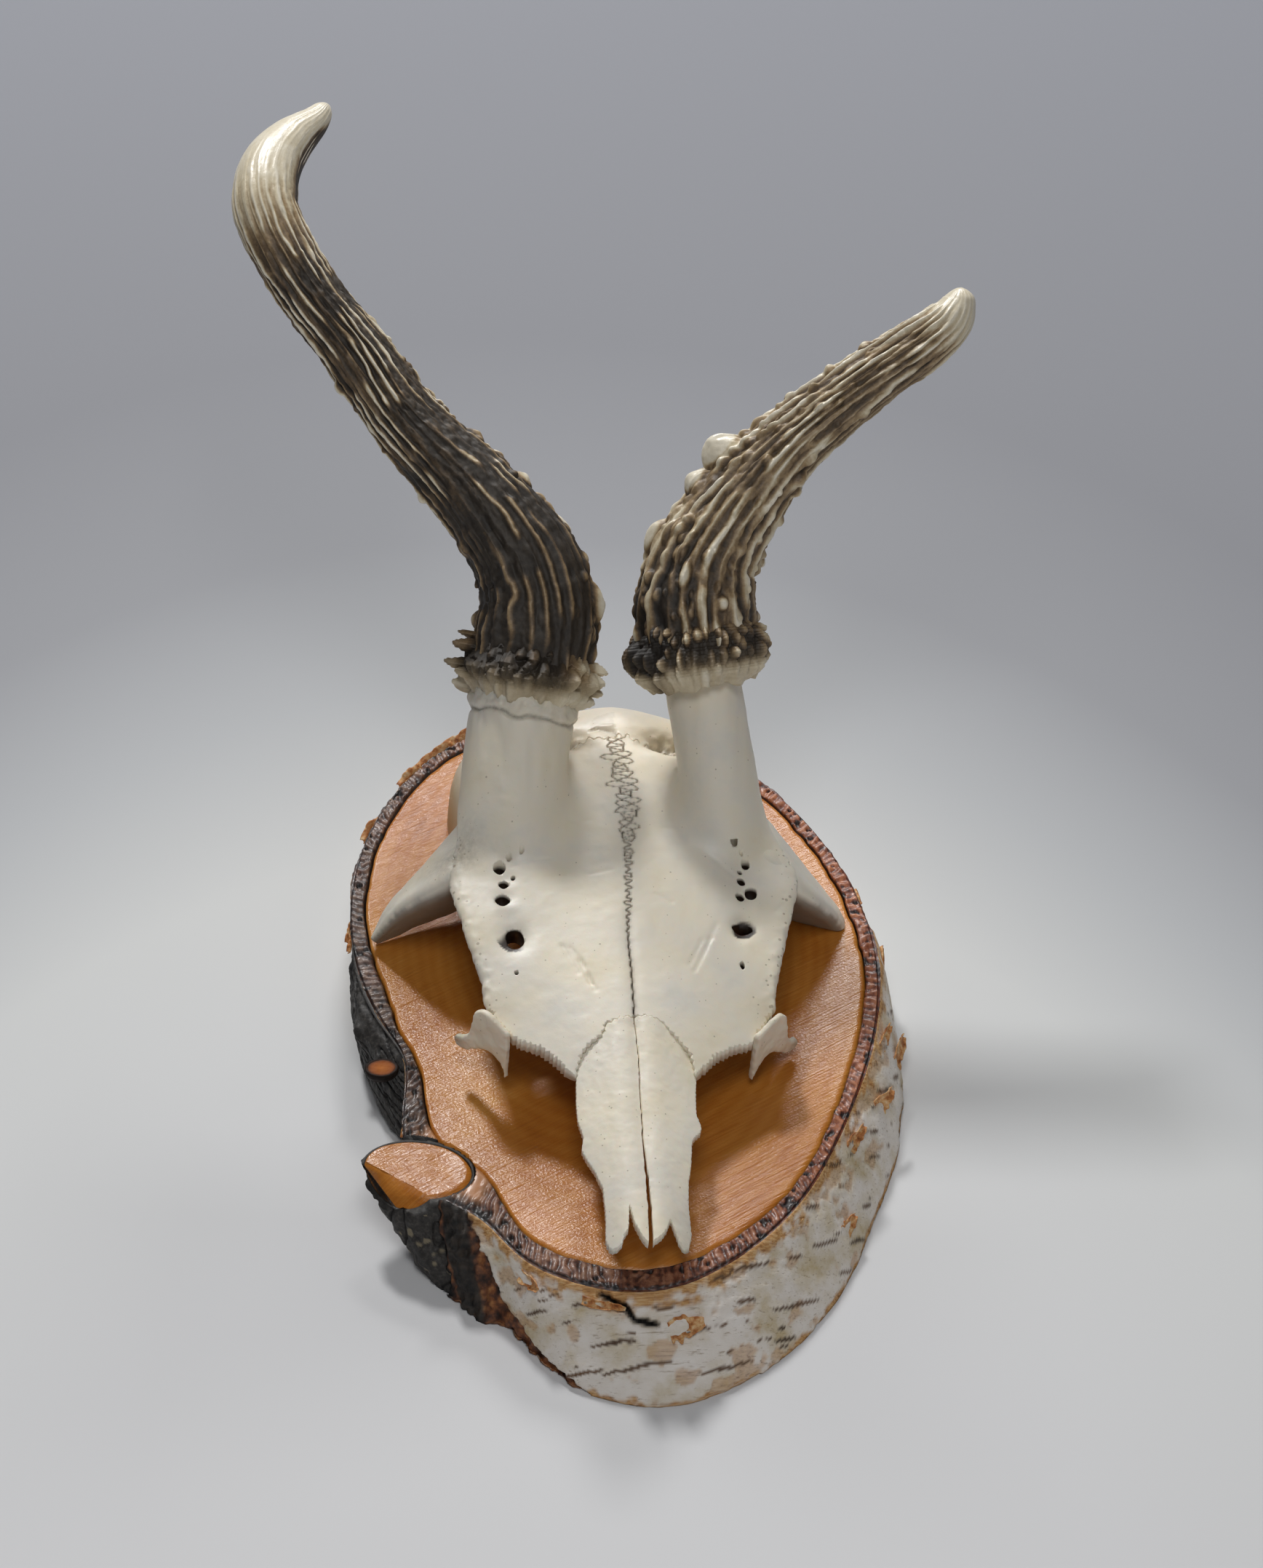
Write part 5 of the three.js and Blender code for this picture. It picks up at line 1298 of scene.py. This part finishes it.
# grey dirt: around the left arch's root and stem, along sutures and cracks, under the left burr
STAINS = ((-31, 8, 19, 4.5, 0.9), (-27, 13, 22, 4, 0.5), (-36, 9, 15, 4, 0.35), (-18.7, 33, 35, 6, 0.18),
          (31, 9, 18, 4, 0.15), (-24, 20, 27, 4, 0.3), (-31.8, -24.6, 5.2, 2.4, 1),
          (31.8, -24.6, 5.2, 2.4, 0.8), (-12, 37, 30, 3, 0.5), (-25, -28, 16, 3, 0.25),
          (25, -28, 16, 3, 0.25), (-29, -16, 16, 4, 0.2))
for name, piece in bones.items():
    spots = places(piece)
    x, y, z = spots.T
    dirt = sum(size * np.exp(-((x - a) ** 2 + (y - b) ** 2 + (z - c) ** 2) / wide ** 2)
               for a, b, c, wide, size in STAINS)
    dirt += 0.35 * np.exp(-((x - follow(MIDLINE_DRIFT, y)) / 0.9) ** 2) * ease(-2, -10, y) * (y > -34)
    below = (spots - crown) @ up + 3.6 + 0.7 * noise(spots, 3, 81)
    dirt += np.where((x < 0) & (z > 26), np.exp(-(below / 0.4) ** 2) + 0.3 * ease(0, 2, below), 0)
    is_frontal = name.startswith("frontal")
    # the frontals' faces that lie below the roof's top are made greyer
    inside = ease(0.25, 1.2, roof(x, y) - z) if is_frontal else 0 * x
    dirt += 0.3 * inside * (z < 30)
    # painted shade: darkest in the pits and holes, the hollows behind the stems and the arches' forward
    # walls; the midline suture gets dark dirt
    deep = 0 * x
    for px, py, r in (*PITS, *[(a, b, max(c, d)) for a, b, c, d in FORAMINA]):
        within = np.hypot(x - px, y - py) < r * 1.3 + 0.15
        deep = np.maximum(deep, within * ease(0.55, 0.9, roof(px, py) - z))
    top = np.flatnonzero((np.abs(x) < 6) & (y > -33) & (y < 39) & (z > 17) & is_frontal)
    for few in np.array_split(top, max(1, len(top) // 4000)):
        gap = np.hypot(x[few, None] - line[None, ::2, 0], y[few, None] - line[None, ::2, 1]).min(1)
        deep[few] = np.maximum(deep[few], 0.62 * np.exp(-(gap / 0.26) ** 2))
    # painted shadow in the hollows behind the stems, where the burrs' shade falls
    sunk = np.exp(-((np.abs(x + 0.6) - 11) / 4.5) ** 2 - ((y - 36) / 2.6) ** 2) * (z < 27)
    deep = np.maximum(deep, 0.4 * sunk * ease(-0.4, 0.5, rough(spots, 1.3, 88)) + 0.12 * sunk)
    share = np.abs(x) / follow(FOREHEAD_HALF, y)
    porous = ease(0.8, 1.0, share) * ease(20, 8, y) if is_frontal else 0.15 + 0 * x
    mark(piece, "stain", np.clip(dirt, 0, 1))
    mark(piece, "rim", porous)
    if name.startswith("postorbital"):
        # painted shade on the arches' walls that face forwards and not up, away from the lamps behind
        facing = normals(piece)
        deep = np.maximum(deep, 0.62 * ease(0.05, 0.5, -facing[:, 1]) * ease(0.35, 0, facing[:, 2]))
    # 'deep' holds painted shade together with the suture's dark dirt
    mark(piece, "deep", deep)
    aged = 0.24 * ease(30, 40, y) * (z < 29) + 0.5 * ease(-27, -33, x) * ease(12, 24, y)
    aged += 0.3 * ease(16, 4, z) * ease(20, 30, y)
    mark(piece, "aged", aged.clip(0, 1))
    seated(piece)
    place(piece, bone, "bone", name)

# ============================================================ antlers: burrs
# Each antler starts with a burr: a crown of pearly knobs and teeth round its foot, grey-white bone
# where it sits on the stem and brown above. It is one growth with stem and beam.
BURRS = {"left": (10.8, 13.4, 3), "right": (10.9, 13.2, 5)}  # height, half width, seed
BURR_SWELL = {"left": ((0, 0.8), (0.12, 0.93), (0.4, 1), (0.7, 0.92), (1, 0.8)),
              "right": ((0, 0.8), (0.12, 0.95), (0.4, 1), (0.7, 0.96), (1, 0.8))}
# single large knobs: share of the burr's height, degrees round it, height, half width and half length
BIG_KNOBS = {
    "left": ((0.95, 181, 4.6, 2, 1.4), (0.72, 190, 4.4, 1.8, 1.6), (0.36, 186, 4, 1.7, 1.6),
             (0.2, 195, 3, 1.4, 1.3), (0.02, 178, 3.4, 1.5, 1.2), (0.7, 352, 3.2, 2.6, 1.8),
             (0.5, 340, 2.2, 2, 2), (0.3, 356, 2.6, 2, 1.4), (0.1, 345, 2.2, 2, 1.4),
             (0.68, 318, 1.6, 2.2, 1.6)),
    "right": ((0.5, 184, 2.6, 3, 4.2), (0.15, 200, 2, 3, 2.6), (0.85, 352, 2.4, 1.7, 1.7),
              (0.6, 350, 2, 1.6, 1.6), (0.88, 300, 1.2, 2.2, 2)),
}
CREST_COLUMNS = 400


def knobs(name):
    """Random pearls and teeth of a burr in the same form as the big ones."""
    dice = np.random.default_rng(BURRS[name][2])
    made = list(BIG_KNOBS[name])
    if name == "right":
        for level, high, tall, step in ((0.82, 1.9, 2.2, 9.4), (0.52, 1.8, 2.3, 11.3),
                                        (0.2, 1.3, 2.6, 12.8)):
            for turn in np.arange(0, 360, step):
                made.append((level + dice.uniform(-0.13, 0.13), turn + dice.uniform(-3.5, 3.5),
                             high * dice.uniform(0.4, 1.2), dice.uniform(0.7, 1.45),
                             tall * dice.uniform(0.5, 1.15)))
    else:
        for _ in range(130):
            size = dice.uniform(0.6, 1.7)
            made.append((dice.uniform(0.0, 0.86), dice.uniform(0, 360), size * dice.uniform(0.5, 1.0),
                         size, size * dice.uniform(0.9, 1.9)))
    return made


def bumps(turn, at, base, shapes, height):
    """The highest of a set of blunt cones at each point."""
    total = np.zeros(np.broadcast(turn, at).shape)
    for share, angle, high, wide, tall in shapes:
        round_off = np.radians(apart(turn, angle)) * base
        away = (round_off / wide) ** 2 + ((at - share) * height / tall) ** 2
        total = np.maximum(total, high * np.clip(1 - away ** 0.85, 0, 1) ** 0.85)
    return total


burrs = {}
for name, line in ANTLER_LINES.items():
    height, half, seed = BURRS[name]
    rows = 64
    levels = np.linspace(0, 1, rows)
    turn = np.arange(CREST_COLUMNS) * 360 / CREST_COLUMNS
    grid = np.stack(np.broadcast_arrays(14 * np.cos(np.radians(turn)), 14 * np.sin(np.radians(turn)),
                                        levels[:, None] * height), -1)
    knob = bumps(turn[None], levels[:, None], half, knobs(name), height)
    valley = 0.9 * np.abs(noise(grid, (2.2, 2.2, 4.5), 121 + seed)) + 0.35 * rough(grid, 1.6, 123)
    shape = half * follow(BURR_SWELL[name], levels)[:, None] - 1.0 + knob + 0.9 * valley
    shape += 0.35 * noise(grid, 5, 125) + ease(0.5, 0, levels[:, None]) * 0.6 * noise(grid, (3, 3, 20), 127)
    length = np.linalg.norm(np.diff(np.array(line)[:, :3], axis=0), axis=1).sum()
    ring = spine(line, 400, CREST_COLUMNS, lambda s, t, r: 0 * s * t + 1)
    middle = ring.mean(1)
    run = np.concatenate([[0], np.cumsum(np.linalg.norm(np.diff(middle, axis=0), axis=1))])
    rings = []
    for level, reach in zip(levels, shape):
        i = min(np.searchsorted(run, level * height), len(run) - 1)
        spread = (ring[i] - middle[i]) * reach[:, None]
        rings.append(middle[i] + spread)
    tangent = (middle[10] - middle[0]) / np.linalg.norm(middle[10] - middle[0])
    # a ragged lower lip that hangs a little over the stem
    lip = (1.1 * noise(grid[0], 4.5, 129) + 0.6 * noise(grid[0], 1.8, 130) - 0.7)[:, None] * tangent
    rings = np.array(rings)
    rings[:8] += lip[None] * np.linspace(1, 0, 8)[:, None, None]
    first = middle[0] + (rings[0] - middle[0]) * 0.72 + tangent * 0.8
    last_middle = rings[-1].mean(0)
    inner = [last_middle + (rings[-1] - last_middle) * s for s in (0.9, 0.78)]
    made = tube("burr_ring_" + name, np.concatenate([first[None], rings, inner]))
    knob = np.concatenate([knob[:1], knob, knob[-1:], knob[-1:]])
    level = np.repeat(np.concatenate([[0], levels, [1, 1]]), CREST_COLUMNS)
    turns_all = np.tile(turn, rows + 3)
    wear_and_shade = 0.62 * (knob.ravel() / 2.0).clip(0, 1) ** 1.4 + 0.12
    if name == "right":
        wear_and_shade = wear_and_shade + 0.55 * ease(0.42, 0.12, level)
        wear_and_shade -= 0.5 * ease(46, 12, np.abs(apart(turns_all, 196))) * ease(0.05, 0.25, level + 0.3)
    else:
        wear_and_shade = 0.55 * wear_and_shade + 0.5 * ease(0.3, 0.02, level)
        wear_and_shade += 0.42 * ease(50, 18, np.abs(apart(turns_all, 335)))
    mark(made, "wear_and_shade", np.clip(wear_and_shade, 0, 1))
    mark(made, "ashen", ease(0.6, 0.15, level))
    burrs[name] = made

# ============================================================ antlers: beams
# Solid antler, hard as bone: long branching ridges with dark-stained furrows between them and rows
# of pearls on the inner side. Use has polished the tips to ivory.
BEAMS = {"left": (6, 580, 7), "right": (6, 440, 11)}  # where it starts in mm, rows, seed
RIDGES = {"left": 24, "right": 20}
PEARLS = {
    "left": ((0.04, 10, 1.8, 2.6, 3.4), (0.12, 350, 1.6, 2.2, 3), (0.2, 15, 1.8, 2.2, 3),
             (0.27, 0, 1.4, 2, 2.6), (0.36, 15, 1.6, 1.7, 2.4), (0.47, 5, 1.1, 1.5, 2.2),
             (0.1, 170, 1, 1.6, 3), (0.24, 190, 0.9, 1.5, 2.6)),
    "right": ((0.1, 185, 1.6, 2, 2.6), (0.25, 180, 1.8, 1.9, 2.6), (0.36, 186, 2.2, 2.2, 3),
              (0.43, 182, 3.6, 3, 4.4), (0.59, 175, 1.3, 1.3, 1.7), (0.76, 180, 1.2, 1.2, 1.6),
              (0.3, 10, 2.4, 1.5, 2), (0.12, 0, 1.2, 1.8, 2.6), (0.2, 250, 1.6, 1.3, 3.4),
              (0.15, 290, 1.4, 1.5, 2), (0.08, 262, 1.2, 1.1, 1.6), (0.27, 225, 1.2, 1.1, 1.5)),
}


def small_pearls(name):
    """Rows of small pearls: along the inner side of both antlers, all round the right one's foot."""
    dice = np.random.default_rng(BEAMS[name][2])
    made = list(PEARLS[name])
    for _ in range(90 if name == "left" else 170):
        size = dice.uniform(0.45, 1.05)
        if name == "left":
            share = dice.uniform(0.02, 0.62) ** 1.2
            angle = dice.normal(0, 16) + (180 if dice.random() < 0.16 else 0)
        else:
            share = dice.uniform(0.02, 0.8) ** 1.5
            angle = dice.normal(196, 30) if dice.random() < 0.45 else dice.uniform(190, 380)
        made.append((share, angle, size * 0.95, size, size * dice.uniform(1.1, 2.2)))
    return made


beams = {}
for name, line in ANTLER_LINES.items():
    start, rows, seed = BEAMS[name]
    rows = rows
    rough_length = np.linalg.norm(np.diff(np.array(line)[:, :3], axis=0), axis=1).sum()
    found = {}

    def reach(share, turn, base):
        """How far the beam's skin stands from its line, with ridges, furrows and pearls."""
        t = np.radians(turn)
        off = (share - start / rough_length) * rough_length
        grid = np.stack(np.broadcast_arrays(7 * np.cos(t), 7 * np.sin(t), off + 0 * t), -1)
        drift = 1.7 * noise(grid, (4, 4, 26), 131 + seed) + 0.7 * noise(grid, (1.6, 1.6, 5), 132 + seed)
        crest = np.abs(np.cos(RIDGES[name] / 2 * t + drift)) ** 2.6
        fine = np.clip(1 - np.abs(noise(grid, (1.1, 1.1, 9), 135 + seed)) * 2.6, 0, 1)
        cross = rough(grid, (0.9, 0.9, 1.8), 137 + seed, 2)
        broken = ease(-0.5, 0.3, noise(grid, (2.2, 2.2, 7), 139 + seed))
        worn_tip = ease(0.62, 0.86, share) if name == "left" else ease(0.84, 0.97, share)
        size = (1 - 0.93 * worn_tip) * ease(0.002, 0.05, share)
        pearl = bumps(turn, share, base, small_pearls(name), rough_length)
        deep = 0.62 if name == "left" else 0.8
        ridge = deep * crest * (0.45 + 0.55 * broken) + 0.22 * fine + 0.22 * cross
        tall = base - 0.35 * size + size * ridge
        tall = tall + 0.25 * size * noise(grid, (4.5, 4.5, 14), 141 + seed)
        found.update(crest=crest * (0.35 + 0.65 * broken), fine=fine, cross=cross, pearl=pearl,
                     tip=worn_tip,
                     share=share + 0 * turn, turn=turn + 0 * share)
        foot = ease(start / rough_length + 0.075, start / rough_length + 0.02, share)
        blunt = np.sqrt((1 - ((share - 0.98) / 0.02).clip(0) ** 2).clip(0.004))
        return tall * blunt + pearl + 1.2 * foot * (0.5 + 0.5 * noise(grid, (3, 3, 6), 143))

    rings = spine(line, rows, CREST_COLUMNS, reach, start / rough_length)
    made = tube("beam_" + name, rings)
    f = {key: np.broadcast_to(value, (rows, CREST_COLUMNS)) for key, value in found.items()}
    side_on = apart(f["turn"], 0)  # 0 faces +X
    if name == "left":
        outside = ease(60, 130, np.abs(side_on + 8))
        thin = np.clip(f["crest"] * 1.5 - 0.5, 0, 1) ** 1.3
        low = ease(0.42, 0.16, f["share"])
        wear_and_shade = (0.1 + 0.5 * thin * (1 - 0.25 * low) + 0.42 * f["crest"] ** 2 * (1 - low)
                + 0.16 * (1 - low) * f["fine"] * (0.5 + outside) + 0.05 * f["cross"])
        polish = f["tip"] * ease(18, 52, np.abs(side_on - 6) + 40 * ease(0.93, 0.99, f["share"]))
        wear_and_shade = wear_and_shade * (1 - polish) + polish * (0.86 + 0.06 * f["cross"] + 0.05 * f["fine"])
    else:
        low = ease(0.34, 0.12, f["share"])
        crust = ease(60, 20, np.abs(apart(f["turn"], 205))) * ease(0.3, 0.12, f["share"])
        wear_and_shade = 0.27 + 0.58 * f["crest"] ** 1.1 + 0.2 * f["fine"] + 0.07 * f["cross"]
        wear_and_shade = wear_and_shade - 0.12 * low - 0.3 * crust
        # painted shade: the right beam is darker on its underside
        painted_underside_shade = ease(60, 20, np.abs(apart(f["turn"], 30)))
        wear_and_shade = wear_and_shade * (1 - 0.35 * painted_underside_shade)
        wear_and_shade = wear_and_shade * (1 - f["tip"]) + f["tip"] * (0.82 + 0.1 * f["crest"])
    wear_and_shade = np.maximum(wear_and_shade, (f["pearl"] / 1.3).clip(0, 1) ** 1.2 * 0.9)
    mark(made, "wear_and_shade", np.clip(wear_and_shade, 0, 1).ravel())
    mark(made, "ashen", np.zeros(rows * CREST_COLUMNS))
    beams[name] = made

# Antler: near black to brown furrows, tan to ivory where it is worn, with painted shade on the right beam's
# underside; worn parts shine softly.
antler_stuff, tree, shader = finish("antler, stained furrows and worn ivory ridges", IOR=1.54)
where = add(tree, "TexCoord")
here = {"Vector": where.outputs["Object"]}
wear_and_shade = add(tree, "Attribute", attribute_name="wear_and_shade")
ashen = add(tree, "Attribute", attribute_name="ashen")
crumb = add(tree, "TexNoise", {"Scale": 1 / (0.7 * MM), "Detail": 5, "Roughness": 0.7}, here)
cloud = add(tree, "TexNoise", {"Scale": 1 / (6 * MM), "Detail": 3}, here)
mixed = add(tree, "Math", {1: 0.3}, {0: crumb.outputs[0], 2: wear_and_shade.outputs["Fac"]}, operation="MULTIPLY_ADD")
mixed = add(tree, "Math", {1: 0.16}, {0: cloud.outputs[0], 2: mixed.outputs[0]}, operation="MULTIPLY_ADD")
mixed = add(tree, "Math", {1: 0.23}, {0: mixed.outputs[0]}, operation="SUBTRACT")
browns = add(tree, "ValToRGB", links={"Fac": mixed.outputs[0]},
             stops=[(0.0, "#241E18"), (0.16, "#3B3227"), (0.34, "#6B573F"), (0.52, "#A68D69"),
                    (0.72, "#D8CAAB"), (0.95, "#F0E7D2")])
greys = add(tree, "ValToRGB", links={"Fac": mixed.outputs[0]},
            stops=[(0.0, "#3A3026"), (0.22, "#75664D"), (0.5, "#B5A588"), (0.75, "#D9CCB0"),
                   (1.0, "#E9DFC8")])
tinted = add(tree, "Mix", links={0: ashen.outputs["Fac"], 6: browns.outputs[0], 7: greys.outputs[0]},
             data_type="RGBA")
tree.links.new(tinted.outputs[2], shader.inputs["Base Color"])
gloss = add(tree, "MapRange", {"From Min": 0.2, "From Max": 0.85, "To Min": 0.62, "To Max": 0.3},
            {"Value": mixed.outputs[0]})
tree.links.new(gloss.outputs[0], shader.inputs["Roughness"])
bump = add(tree, "Bump", {"Strength": 0.45, "Distance": 0.1 * MM}, {"Height": crumb.outputs[0]})
tree.links.new(bump.outputs[0], shader.inputs["Normal"])
for name in ("left", "right"):
    place(seated(burrs[name]), antler_stuff, "antler", "burr_" + name)
    place(seated(beams[name]), antler_stuff, "antler", "antler_" + name)
